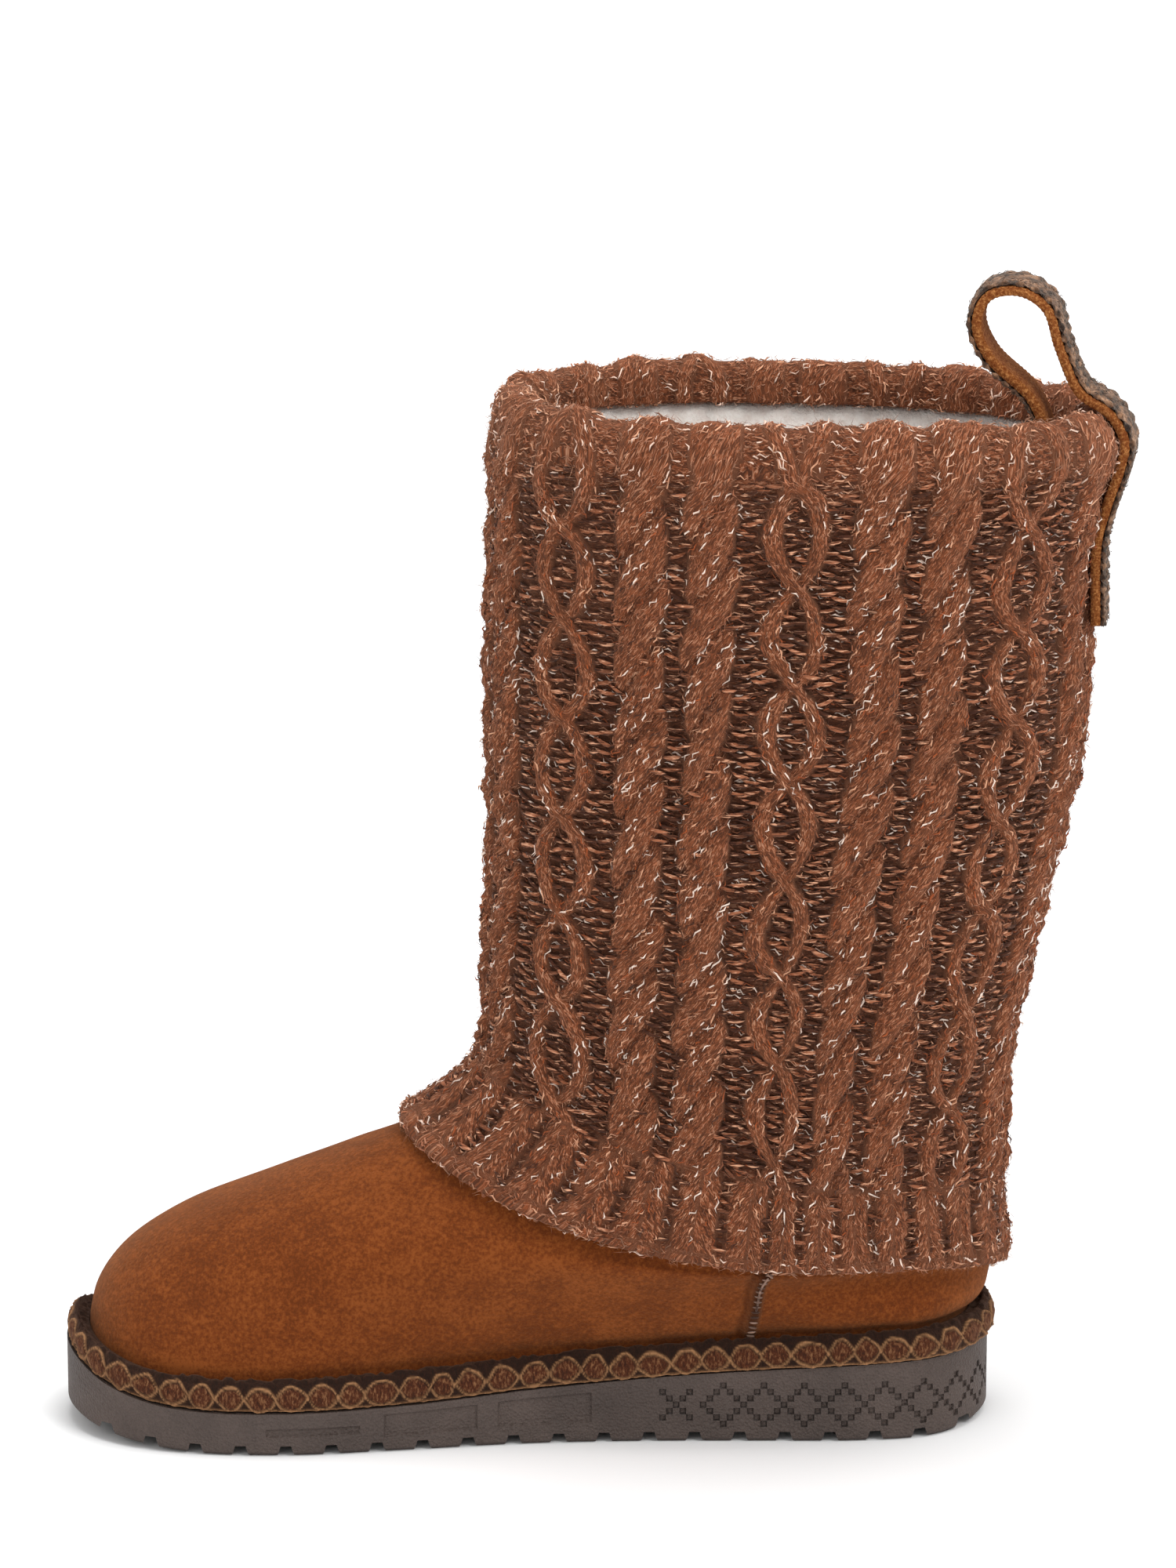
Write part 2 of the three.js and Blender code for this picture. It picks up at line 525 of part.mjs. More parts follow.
// Turns of the knit's steps: even along the middle ring of the shaft, but wider apart on the inner side.
function knitTurns(count) {
  const fine = evenTurns(720).map((turn) => upperPoint(turn, MID_SHAFT_RING));
  const lengths = fine.map((point, i) => point.distanceTo(fine[(i + 1) % fine.length]));
  const total = lengths.reduce((a, b) => a + b, 0);
  return evenTurns(count).map((even) => {
    const spread = KNIT_SPREAD * Math.sin(even - KNIT_MIDDLE);
    let left = (even / (2 * Math.PI) + KNIT_START + spread) * total;
    let i = 0;
    while (left > lengths[i % fine.length]) {
      left -= lengths[i % fine.length];
      i += 1;
    }
    return (2 * Math.PI * (i + left / lengths[i % fine.length])) / fine.length;
  });
}

// How far each step of one repeat stands out of the knit, in the cables and in the ribs of the hem.
function cableRaises() {
  return REPEAT.flatMap(({ steps, raise }) => (
    Array.from({ length: steps }, (_, i) => raise * Math.sin((Math.PI * (i + 0.5)) / steps) ** 0.5)
  ));
}

function knitSleeve() {
  const cables = cableRaises();
  const ribAt = (step) => Math.floor((step * RIBS_PER_REPEAT) / cables.length);
  const thickness = (step, place) => {
    const cable = cables[step % cables.length];
    const rib = ribAt(step) === ribAt(step - 1) ? RIB_RAISE : 0;
    const share = THREE.MathUtils.smoothstep(place, ...RIB_END);
    return KNIT_BASE + THREE.MathUtils.lerp(rib, cable, share);
  };
  const outside = (place, share) => (turn, i) => (
    wallPoint(turn, place, KNIT_CLEARANCE + share * thickness(i, place)));
  const under = (place) => (turn) => wallPoint(turn, place, KNIT_CLEARANCE);
  const atCollar = (step) => thickness(step, COLLAR_RING);
  const roll = (share, rise) => (turn, i) => collarPoint(turn, KNIT_CLEARANCE + share * atCollar(i), rise);
  const inside = -WALL - FOLD_GAP;
  const [rollShare, rollRise] = [0.75, COLLAR_ROLL * 0.55];
  const rollIn = (share, rise) => (turn, i) => collarPoint(turn, inside - share * atCollar(i), rise);
  const fold = (share, place) => (turn, i) => wallPoint(turn, place, inside - share * atCollar(i));
  return ringWall(knitTurns(KNIT_REPEATS * cables.length), [
    under(HEM_RING),
    outside(HEM_RING - 0.06, 0.3),
    outside(HEM_RING + 0.08, 0.7),
    ...[...RIB_END, 11, 12, 13, 14, 14.55, ROLL_START].map((place) => outside(place, 1)),
    roll(rollShare, rollRise),
    (turn) => collarPoint(turn, -WALL / 2, COLLAR_ROLL),
    rollIn(rollShare, rollRise),
    fold(1, ROLL_START),
    fold(0, FOLD_RING),
    (turn) => collarPoint(turn, inside, GAP),
    (turn) => collarPoint(turn, KNIT_CLEARANCE, GAP),
    ...SHAFT_PLACES.slice(1, -1).reverse().map(under),
  ]);
}

// The pull loop's path, seen from the side: its inner face, from the end that is sewn outside, over the
// rolled collar and round, to the end inside.
function strapPath() {
  const knit = KNIT_BASE + REPEAT[0].raise;
  const tail = wallPoint(0, MID_SHAFT_RING + 1, KNIT_CLEARANCE + knit).x + STRAP_STANDOFF;
  const inside = collarPoint(0, -WALL - FOLD_GAP - knit, 0).x - STRAP_BEDDING;
  const top = SHAFT_HEIGHT - COLLAR_DROP + COLLAR_ROLL;
  const loop = LOOP.map((row) => ({ x: tail - row.reach * LOOP_REACH, z: top + row.rise * LOOP_HEIGHT }));
  const rows = [
    { x: tail, z: top - STRAP_TAIL },
    { x: tail, z: top - STRAP_TAIL * 0.6 },
    ...loop,
    { x: inside, z: top - STRAP_TUCK * 0.25 },
    { x: inside, z: top - STRAP_TUCK },
  ];
  const points = rows.map((row) => new THREE.Vector3(row.x, 0, row.z));
  return new THREE.CatmullRomCurve3(points, false, 'centripetal');
}

// One layer of the strap: a band between two distances outside its path, turned a little.
function strapLayer(near, far) {
  const steps = 40;
  const path = strapPath();
  const edge = (out) => Array.from({ length: steps + 1 }, (_, i) => {
    const point = path.getPointAt(i / steps);
    const along = path.getTangentAt(i / steps);
    return new THREE.Vector2(point.x + along.z * out, point.z - along.x * out);
  });
  const section = new THREE.Shape([...edge(near), ...edge(far).reverse()]);
  const band = new THREE.ExtrudeGeometry(section, { depth: STRAP_WIDTH, bevelEnabled: false });
  const start = path.getPointAt(0);
  band.rotateX(Math.PI / 2).translate(-start.x, STRAP_WIDTH / 2, 0);
  return band.rotateZ(-STRAP_YAW).translate(start.x, STRAP_SIDE, 0);
}

function piece(name, geometry, colour, roughness) {
  const material = new THREE.MeshStandardMaterial({ color: colour, roughness, metalness: 0 });
  const mesh = new THREE.Mesh(geometry, material);
  mesh.name = name;
  return mesh;
}

const webbingStart = BACKING_THICKNESS + GAP;
const boot = new THREE.Group();
boot.add(
  piece('outsole', outsole(), COLOURS.outsole, 0.7),
  piece('insole', insole(), COLOURS.insole, 1),
  piece('upper', upper(), COLOURS.suede, 0.95),
  piece('rand', rand(), COLOURS.rand, 1),
  piece('knit_sleeve', knitSleeve(), COLOURS.knit, 1),
  piece('pull_loop_backing', strapLayer(0, BACKING_THICKNESS), COLOURS.suede, 0.95),
  piece('pull_loop_webbing', strapLayer(webbingStart, webbingStart + WEBBING_THICKNESS), COLOURS.webbing, 1),
);

export default boot;
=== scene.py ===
import math

import bmesh
import bpy
import numpy as np
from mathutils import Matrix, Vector


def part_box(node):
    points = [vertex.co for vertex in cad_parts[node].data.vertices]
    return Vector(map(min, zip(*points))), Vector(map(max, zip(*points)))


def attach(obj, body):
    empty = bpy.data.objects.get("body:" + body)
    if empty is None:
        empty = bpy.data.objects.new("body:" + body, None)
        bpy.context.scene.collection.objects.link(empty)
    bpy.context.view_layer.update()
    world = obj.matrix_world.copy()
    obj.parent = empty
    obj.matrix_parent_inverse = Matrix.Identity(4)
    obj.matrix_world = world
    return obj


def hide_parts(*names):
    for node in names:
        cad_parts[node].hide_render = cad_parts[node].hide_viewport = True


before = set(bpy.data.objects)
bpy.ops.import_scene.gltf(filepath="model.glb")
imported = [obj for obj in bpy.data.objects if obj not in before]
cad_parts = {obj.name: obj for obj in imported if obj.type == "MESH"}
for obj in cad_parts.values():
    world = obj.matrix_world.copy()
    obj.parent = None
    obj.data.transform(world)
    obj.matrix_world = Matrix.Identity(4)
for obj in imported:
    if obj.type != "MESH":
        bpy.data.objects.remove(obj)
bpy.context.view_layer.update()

bl_info = {
    "name": "Knitted slipper boot",
    "version": (1, 0, 0),
    "blender": (4, 5, 0),
    "location": "View3D > Sidebar > Boot",
    "description": "Dresses the packed boot: suede foot, knit sleeve, rand, moulded sole and pull loop",
    "category": "Add Mesh",
}

MM = 0.001

# Sizes of the outsole and of the shaft, as the frame has them
SOLE_LOW, SOLE_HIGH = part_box("outsole")
LENGTH = SOLE_HIGH[0] - SOLE_LOW[0]
HEEL_END = SOLE_HIGH[0]
HEEL_THICKNESS = SOLE_HIGH[2]
SHAFT_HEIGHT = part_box("upper")[1][2]
# Other sizes in metres. HEM_DIP_FALL is a power, and SEAM_TURNS are the side seams' turns round the boot.
BALL_INNER = 0.0468
BALL_OUTER = 0.052
TOE_THICKNESS = 0.0126
TOE_SPRING = 0.0052
TOE_SPRING_LENGTH = 0.050
HEEL_BEVEL = 0.0016
HEEL_BEVEL_LENGTH = 0.016
TREAD_EDGE = 0.0011
LUG_PITCH = 0.0131
FIRST_GROOVE = 0.0079
GROOVE_MOUTH = 0.0048
GROOVE_FLOOR = 0.0030
GROOVE_DEPTH = 0.0029
PANEL_DEPTH = 0.0006
GAP = 0.0003
SEAT_GAP = 0.00045
FOLD_GAP = 0.0007
WALL = 0.003
INSOLE_THICKNESS = 0.004
FEATHER_INSET = 0.0066
SHAFT_LENGTH = 0.1593
SHAFT_HALF_WIDTH = 0.0495
COLLAR_DROP = 0.006
HEM_DIP = 0.0065
HEM_DIP_FALL = 14
INSTEP_HEIGHT = 0.088
SEAM_TURN = math.pi * 0.4
SEAM_TURNS = {"inner": SEAM_TURN, "outer": 2 * math.pi - SEAM_TURN}
RAND_HEIGHT = 0.009
RAND_OVERHANG_HEEL = 0.0014
RAND_OVERHANG_TOE = -0.001
KNIT_CLEARANCE = 0.0004
KNIT_TURN_IN = 0.0045
COLLAR_ROLL = 0.0066
ROLL_INSIDE = 0.003

# Plan of the outsole: shares of LENGTH from the heel, and of the half widths at the ball
OUTLINE = {
    "from_heel": (0, 0.017, 0.067, 0.146, 0.25, 0.371, 0.5, 0.629, 0.75, 0.854, 0.933, 0.983, 1),
    "inner": (0, 0.37, 0.645, 0.735, 0.74, 0.745, 0.79, 0.905, 1, 0.965, 0.81, 0.52, 0.12),
    "outer": (0, 0.335, 0.585, 0.665, 0.69, 0.765, 0.88, 0.985, 0.985, 0.83, 0.6, 0.25, -0.108),
}
# Top of the outsole: share of the rise from the forefoot's thickness to the heel's
SEAT = {
    "from_heel": (0, 0.15, 0.32, 0.47, 0.62, 0.76, 0.88, 0.95, 1),
    "rise": (1, 0.88, 0.66, 0.38, 0.1, 0, 0.06, 0.4, 0.97),
}
# Sunk panels of the outsole's side: shares of LENGTH from the heel, and of the local thickness
PANELS = (
    {"start": 0.43, "end": 0.53, "low": 0.36, "high": 0.8},
    {"start": 0.552, "end": 0.652, "low": 0.3, "high": 0.82},
    {"start": 0.676, "end": 0.776, "low": 0.42, "high": 0.68},
)
# Rings of the upper from the sole to the collar, a column for each size. Lifts, outs and lean are in
# millimetres, front, back and seam are shares of SHAFT_LENGTH, half is a share of SHAFT_HALF_WIDTH,
# front_up and back_up are shares of INSTEP_HEIGHT, and dip is a share of HEM_DIP.
RINGS = {
    "round": (0, 0, 0.05, 0.22, 0.48, 0.76) + (1,) * 10,
    "toe_lift": (0.45, 8, 12, 17, 22, 27) + (30,) * 10,
    "heel_lift": (0.45, 8, 10.6, 13, 15, 17) + (19,) * 10,
    "toe_out": (0, -0.3, -0.7, -1.4, -2.4, -3.4) + (-4,) * 10,
    "heel_out": (0, 1.2, 4, 5.6, 6, 6) + (6,) * 10,
    "front": (1.38, 1.38, 1.38, 1.365, 1.31, 1.21, 1.06, 0.92, 0.803, 0.7, 0.64, 0.635, 0.624,
              0.624, 0.623, 0.619),
    "back": (0.25, 0.255, 0.26, 0.262, 0.262, 0.262, 0.262, 0.263, 0.27, 0.258, 0.25, 0.259, 0.32,
             0.378, 0.385, 0.427),
    "seam": (-0.19, -0.187, -0.183, -0.178, -0.172, -0.167, -0.16, -0.153, -0.147, -0.142, -0.137,
             -0.13, -0.118, -0.107, -0.099, -0.094),
    "half": (0.86, 0.87, 0.88, 0.88, 0.87, 0.855, 0.835, 0.822, 0.815, 0.813, 0.822, 0.852, 0.915,
             0.962, 0.988, 1),
    "front_up": (0.25, 0.3, 0.38, 0.515, 0.63, 0.733, 0.825, 0.915, 0.995, 1.12, 1.28, 1.55, 1.97,
                 2.42, 2.87, SHAFT_HEIGHT / INSTEP_HEIGHT),
    "back_up": (0.4, 0.44, 0.475, 0.508, 0.525, 0.542, 0.56, 0.58, 0.61, 0.77, 0.96, 1.27, 1.8,
                2.33, 2.84, (SHAFT_HEIGHT - COLLAR_DROP) / INSTEP_HEIGHT),
    "sag": (1, 1, 1, 1, 1.2, 1.6, 2.1, 2.7, 3.1, 2.6, 2, 1.5, 1.2, 1, 0.8, 0.5),
    "blunt": (2.1, 2.1, 2.15) + (2.2,) * 8 + (2.25, 2.3, 2.35, 2.35, 2.35),
    "dip": (1,) * 10 + (0.6, 0, 0, 0, 0, 0),
    "lean": (8, 8, 8, 8, 7.5, 6.5, 5, 3.5, 2.5, 1.5, 1, 0, 0, 0, 0, 0),
}
HEM_RING = 8
RIB_TOP_RING = 9.7
MID_SHAFT_RING = 13
COLLAR_RING = 15
TOP_SPACING = SHAFT_HEIGHT - INSTEP_HEIGHT * RINGS["front_up"][COLLAR_RING - 1]
FOLD_RING = COLLAR_RING - KNIT_TURN_IN / TOP_SPACING
# Places between the rings of the coarse rows on the faces of the shaft's walls that don't show
HIDDEN_PLACES = (14, 12.6, 11.3, 10, 9, HEM_RING)

# The knit. Middles, ROPE_HALF and REPEAT_STEPS count steps of one stitch round the shaft, KNIT_START and
# KNIT_SPREAD are shares of the way round, RIB_HALF is a share of a rib, and lengths are in millimetres.
STEP = 3.76
COURSE = 2.9
REPEATS = 7
REPEAT_STEPS = 17
STEPS_ROUND = REPEATS * REPEAT_STEPS
KNIT_START = 0.0837
KNIT_SPREAD = 0.0116
KNIT_MIDDLE = math.pi * 0.336
KNIT_BASE = 2.7
KNIT_FLOOR = 0.35
CHAIN_MIDDLE = 3
CHAIN_PITCH = 28.3
CHAIN_HALF = 7.0
CHAIN_STRAND = 2.9
CHAIN_HEIGHT = 272.7
ROPE_MIDDLES = (9, 14)
ROPE_HALF = 2.0
ROPE_PITCH = 19
ROPE_RISE = 11
ROPE_SLANT = 0.6
RIBS_PER_REPEAT = 5
RIB_HALF = 0.42
RIB_SLANT = 0.45
STRAP_BULGE = 4.0
STRAP_BULGE_DROP = 10
# Knit that is used up for each radian of the roll over the collar
ROLL_GIRTH = COLLAR_ROLL / MM * 1.15
# Lift (in rings) and share of the knit's thickness of the rows that round off its hem
KNIT_HEM = ((-0.10, 0.12), (-0.13, 0.4), (-0.09, 0.75), (-0.01, 0.95))
# Purl stitches lie where the knit's height is under this
PURL_BELOW = 1.15
# Least and greatest length, width and height of a purl stitch, in metres
PURL_SIZES = ((0.0056, 0.0078), (0.0013, 0.0020), (0.0011, 0.0016))
# Mark of points whose strands lie along the courses
NO_SLANT = 9.0


def follow(keys, values, place):
    """Values on a smooth curve through the rows of a table."""
    keys, values = np.asarray(keys, float), np.asarray(values, float)
    last = len(keys) - 1
    rows = np.arange(last + 1)
    before, after = np.maximum(rows - 1, 0), np.minimum(rows + 1, last)
    slopes = (values[after] - values[before]) / (keys[after] - keys[before])
    at = np.clip(place, keys[0], keys[-1])
    high = np.clip(np.searchsorted(keys, at), 1, last)
    low = high - 1
    span = keys[high] - keys[low]
    t = (at - keys[low]) / span
    bend = slopes[low] * span * t * (1 - t) ** 2 - slopes[high] * span * t * t * (1 - t)
    return values[low] * (1 + 2 * t) * (1 - t) ** 2 + values[high] * t * t * (3 - 2 * t) + bend


def mix(a, b, share):
    return a + (b - a) * share


def smoothstep(low, high, value):
    t = np.clip((value - low) / (high - low), 0, 1)
    return t * t * (3 - 2 * t)


def unit(vectors):
    return vectors / np.linalg.norm(vectors, axis=-1, keepdims=True)


def squared(value, power):
    return np.sign(value) * np.abs(value) ** power


def half_turn(turn):
    return np.where(turn <= math.pi, turn, 2 * math.pi - turn)


OUTLINE_TURNS = np.arccos(1 - 2 * np.array(OUTLINE["from_heel"]))


def outline_point(turn):
    """Plan of the outsole: turn 0 is the heel end, and it goes by the inner side to the toe tip at pi."""
    turn = np.mod(turn, 2 * math.pi)
    half = half_turn(turn)
    inner = -BALL_INNER * follow(OUTLINE_TURNS, OUTLINE["inner"], half)
    outer = BALL_OUTER * follow(OUTLINE_TURNS, OUTLINE["outer"], half)
    x = HEEL_END - LENGTH * (1 - np.cos(half)) / 2
    return np.stack([x, np.where(turn <= math.pi, inner, outer)], -1)


def inset_point(turn, inset):
    """The plan moved inwards, square to its edge."""
    along = unit(outline_point(turn + 0.03) - outline_point(turn - 0.03))
    square = np.stack([along[..., 1], -along[..., 0]], -1)
    return outline_point(turn) + square * np.asarray(inset)[..., None]


def seat_height(x):
    rise = follow(SEAT["from_heel"], SEAT["rise"], (HEEL_END - x) / LENGTH)
    return TOE_THICKNESS + (HEEL_THICKNESS - TOE_THICKNESS) * rise


def tread_height(x):
    toe = np.maximum(0, HEEL_END - LENGTH + TOE_SPRING_LENGTH - x) / TOE_SPRING_LENGTH
    heel = np.maximum(0, x - HEEL_END + HEEL_BEVEL_LENGTH) / HEEL_BEVEL_LENGTH
    return TOE_SPRING * toe * toe + HEEL_BEVEL * heel * heel


def turn_on_ring(turn, ring):
    """Turns are stretched from the heel to the side seam, and from there to the toe."""
    half = half_turn(turn)
    share = (ring["back"] - ring["seam"]) / (ring["back"] + ring["front"])
    low = np.arccos(1 - 2 * (HEEL_END - ring["seam"] * SHAFT_LENGTH) / LENGTH)
    high = np.arccos(squared(1 - 2 * share, ring["blunt"] / 2))
    seam = mix(low, high, ring["round"])
    behind = half * seam / SEAM_TURN
    ahead = math.pi - (math.pi - half) * (math.pi - seam) / (math.pi - SEAM_TURN)
    stretched = np.where(half < SEAM_TURN, behind, ahead)
    return np.where(turn <= math.pi, stretched, 2 * math.pi - stretched)


def upper_point(turn, place):
    """A point of the upper's outer face, at a turn round the boot and a place between two rings."""
    turn, place = np.broadcast_arrays(np.mod(turn, 2 * math.pi), place)
    rows = np.arange(COLLAR_RING + 1)
    ring = {key: follow(rows, values, place) for key, values in RINGS.items()}
    around = turn_on_ring(turn, ring)
    to_toe = (1 - np.cos(around)) / 2
    low = inset_point(around, FEATHER_INSET - mix(ring["heel_out"], ring["toe_out"], to_toe) * MM)
    low_height = seat_height(low[..., 0]) + mix(ring["heel_lift"], ring["toe_lift"], to_toe) * MM
    share = (1 - squared(np.cos(around), 2 / ring["blunt"])) / 2
    high_x = SHAFT_LENGTH * mix(ring["back"], -ring["front"], share)
    side = -ring["half"] * SHAFT_HALF_WIDTH * squared(np.sin(around), 2 / ring["blunt"])
    high_y = side - ring["lean"] * MM * share ** 3
    climb = INSTEP_HEIGHT * mix(ring["back_up"], ring["front_up"], share ** ring["sag"])
    high_height = climb - ring["dip"] * HEM_DIP * (1 - share) ** HEM_DIP_FALL
    low_point = np.stack([low[..., 0], low[..., 1], low_height], -1)
    high_point = np.stack([high_x, high_y, high_height], -1)
    return mix(low_point, high_point, ring["round"][..., None])


def wall_point(turn, place, out):
    """The same, moved out along the face's normal."""
    turn, place = np.broadcast_arrays(turn, np.clip(place, 0, COLLAR_RING))
    around = upper_point(turn + 0.02, place) - upper_point(turn - 0.02, place)
    above = upper_point(turn, np.minimum(place + 0.05, COLLAR_RING))
    normal = unit(np.cross(above - upper_point(turn, np.maximum(place - 0.05, 0)), around))
    return upper_point(turn, place) + normal * np.asarray(out)[..., None]


def collar_point(turn, out, rise):
    """A point beside the upper's top edge, moved out level and then up."""
    along = upper_point(turn + 0.02, COLLAR_RING) - upper_point(turn - 0.02, COLLAR_RING)
    outwards = unit(np.stack([-along[..., 1], along[..., 0], np.zeros_like(along[..., 0])], -1))
    lift = np.asarray(rise, float)[..., None] * np.array([0, 0, 1.0])
    return upper_point(turn, COLLAR_RING) + outwards * np.asarray(out)[..., None] + lift


def walked(points):
    """Length of a line of points up to each of them."""
    return np.concatenate([[0], np.cumsum(np.linalg.norm(np.diff(points, axis=0), axis=1))])


def knit_turns(steps):
    """Turns round the boot of places in the knit, counted in steps."""
    fine = np.linspace(0, 2 * math.pi, 721)
    lengths = walked(upper_point(fine, MID_SHAFT_RING))
    share = np.asarray(steps, float) / STEPS_ROUND
    share = share + KNIT_START + KNIT_SPREAD * np.sin(2 * math.pi * share - KNIT_MIDDLE)
    return np.interp(np.mod(share, 1), lengths / lengths[-1], fine)


def ripple(a, b, seed):
    """A gentle unevenness from -1 to 1, the same each run."""
    waves = ((0.11, 0.07, 1.3), (0.063, -0.13, 2.1), (0.19, 0.151, 0.4), (-0.27, 0.21, 5.2))
    return sum(np.sin(u * a + v * b + w * (seed + 1)) for u, v, w in waves) / len(waves)


def random_field(shape, seed, coarse):
    """Soft random lumps on a grid that closes on itself round the boot, about 0 to 1."""
    rng = np.random.default_rng(seed)
    nu, nv = max(3, shape[0] // coarse[0]), max(3, shape[1] // coarse[1])
    cells = rng.random((nu, nv))
    u = np.arange(shape[0]) * nu / shape[0]
    v = np.arange(shape[1]) * (nv - 1) / max(1, shape[1] - 1)
    iu, iv = u.astype(int), np.minimum(v.astype(int), nv - 2)
    fu, fv = smoothstep(0, 1, u - iu)[:, None], smoothstep(0, 1, v - iv)[None, :]
    a, b = cells[iu % nu][:, iv], cells[(iu + 1) % nu][:, iv]
    c, d = cells[iu % nu][:, iv + 1], cells[(iu + 1) % nu][:, iv + 1]
    return mix(mix(a, b, fu), mix(c, d, fu), fv)


def mesh_from(name, points, faces, fields=None, material=None, smooth=True):
    """A mesh object at the origin, with its named values stored on its points."""
    points = points.reshape(-1, 3)
    mesh = bpy.data.meshes.new(name)
    mesh.from_pydata(points.tolist(), [], [list(face) for face in faces])
    for key, values in (fields or {}).items():
        values = np.asarray(values, float).ravel()
        single = len(values) == len(points)
        layer = mesh.attributes.new(key, "FLOAT" if single else "FLOAT_VECTOR", "POINT")
        layer.data.foreach_set("value" if single else "vector", values)
    mesh.polygons.foreach_set("use_smooth", [smooth] * len(mesh.polygons))
    piece = bpy.data.objects.new(name, mesh)
    bpy.context.scene.collection.objects.link(piece)
    if material:
        mesh.materials.append(material)
    return piece


def grid_faces(nu, nv, wrap_u, wrap_v):
    """Four-sided faces of a grid of points, facing left of u and v."""
    i, j = np.meshgrid(np.arange(nu if wrap_u else nu - 1), np.arange(nv if wrap_v else nv - 1),
                       indexing="ij")
    i2, j2 = (i + 1) % nu, (j + 1) % nv
    return np.stack([i * nv + j, i2 * nv + j, i2 * nv + j2, i * nv + j2], -1).reshape(-1, 4)


def face_outwards(piece):
    """Turns a closed piece's faces so that all point out of it."""
    work = bmesh.new()
    work.from_mesh(piece.data)
    bmesh.ops.recalc_face_normals(work, faces=work.faces)
    if work.calc_volume(signed=True) < 0:
        bmesh.ops.reverse_faces(work, faces=work.faces)
    work.to_mesh(piece.data)
    work.free()
    return piece


def ring_piece(name, grid, fields=None, material=None):
    """A wall that closes on itself both round the boot and round its own section."""
    faces = grid_faces(*grid.shape[:2], True, True)
    return face_outwards(mesh_from(name, grid, faces, fields, material))


def finish_piece(piece, slot, *nodes):
    """Binds a finished piece to the boot's one body and hides the frame's parts that it stands for."""
    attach(piece, "root")
    if nodes:
        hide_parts(*nodes)
    return piece


# Node trees

def node(tree, kind, inputs=(), **settings):
    """Adds a node, sets it up and joins its inputs."""
    new = tree.nodes.new(kind)
    for key, value in settings.items():
        setattr(new, key, value)
    for key, value in dict(inputs).items():
        socket = new.inputs[key]
        if isinstance(value, bpy.types.NodeSocket):
            tree.links.new(value, socket)
        else:
            socket.default_value = value
    return new


def maths(tree, operation, a, b=0.0, c=0.0):
    return node(tree, "ShaderNodeMath", {0: a, 1: b, 2: c}, operation=operation).outputs[0]


def vector_maths(tree, operation, a, b):
    """A sum on vectors; to scale one, b is a number."""
    other = "Scale" if operation == "SCALE" else 1
    return node(tree, "ShaderNodeVectorMath", {0: a, other: b}, operation=operation).outputs[0]


def stretched(tree, vector, scale):
    return node(tree, "ShaderNodeMapping", {"Vector": vector, "Scale": scale}).outputs[0]


def noise(tree, vector, scale, detail=3.0, roughness=0.55, wave=0.0):
    inputs = {"Vector": vector, "Scale": scale, "Detail": detail, "Roughness": roughness, "Distortion": wave}
    return node(tree, "ShaderNodeTexNoise", inputs).outputs["Fac"]


def stored(tree, name, output="Fac"):
    return node(tree, "ShaderNodeAttribute", attribute_name=name).outputs[output]


def object_place(tree):
    return node(tree, "ShaderNodeTexCoord").outputs["Object"]


def ramp(tree, factor, stops, mode="LINEAR"):
    """Colour by a factor: stops hold a place and a colour."""
    new = node(tree, "ShaderNodeValToRGB", {"Fac": factor})
    new.color_ramp.interpolation = mode
    elements = new.color_ramp.elements
    while len(elements) < len(stops):
        elements.new(0.5)
    for element, (place, colour) in zip(elements, stops):
        element.position = place
        element.color = (*colour[:3], 1.0)
    return new.outputs["Color"]


def mixed(tree, factor, a, b, mode="MIX"):
    new = node(tree, "ShaderNodeMix", data_type="RGBA", blend_type=mode)
    for socket, value in ((new.inputs[0], factor), (new.inputs[6], a), (new.inputs[7], b)):
        if isinstance(value, bpy.types.NodeSocket):
            tree.links.new(value, socket)
        else:
            socket.default_value = value if isinstance(value, float) else (*value[:3], 1.0)
    return new.outputs[2]


def new_finish(name, roughness, sheen=0.0, sheen_tint=(1, 1, 1), specular=0.5):
    """A material with its node tree and shader."""
    material = bpy.data.materials.new(name)
    material.use_nodes = True
    shader = material.node_tree.nodes["Principled BSDF"]
    shader.inputs["Roughness"].default_value = roughness
    shader.inputs["Sheen Weight"].default_value = sheen
    shader.inputs["Sheen Roughness"].default_value = 0.5
    shader.inputs["Sheen Tint"].default_value = (*sheen_tint, 1.0)
    shader.inputs["Specular IOR Level"].default_value = specular
    return material, material.node_tree, shader


def raise_bump(tree, shader, height, distance, strength=1.0):
    bump = node(tree, "ShaderNodeBump", {"Height": height, "Distance": distance, "Strength": strength})
    tree.links.new(bump.outputs[0], shader.inputs["Normal"])


# Geometry Nodes

MARL_SCALE = 190
SWIRL_SCALE = 300
YARN_STREAK = (0.75, 0.2, 0)


def new_group(name, sockets):
    """A geometry node tree with its inputs, and the nodes at its two ends."""
    tree = bpy.data.node_groups.new(name, "GeometryNodeTree")
    tree.interface.new_socket("Geometry", in_out="INPUT", socket_type="NodeSocketGeometry")
    tree.interface.new_socket("Geometry", in_out="OUTPUT", socket_type="NodeSocketGeometry")
    for label, kind in sockets:
        tree.interface.new_socket(label, in_out="INPUT", socket_type=kind)
    return tree, node(tree, "NodeGroupInput").outputs


def named_field(tree, name, kind="FLOAT_VECTOR"):
    return node(tree, "GeometryNodeInputNamedAttribute", {"Name": name}, data_type=kind).outputs[0]


def random_number(tree, low, high, seed):
    inputs = {2: low, 3: high, 8: seed}
    return node(tree, "FunctionNodeRandomValue", inputs, data_type="FLOAT").outputs[1]


def turned(tree, way, facing):
    """Rotation that lays a thing's length along a way and its top towards a facing."""
    first = node(tree, "FunctionNodeAlignRotationToVector", {"Vector": way}, axis="X")
    inputs = {"Rotation": first.outputs[0], "Vector": facing}
    return node(tree, "FunctionNodeAlignRotationToVector", inputs, axis="Z", pivot_axis="X").outputs[0]


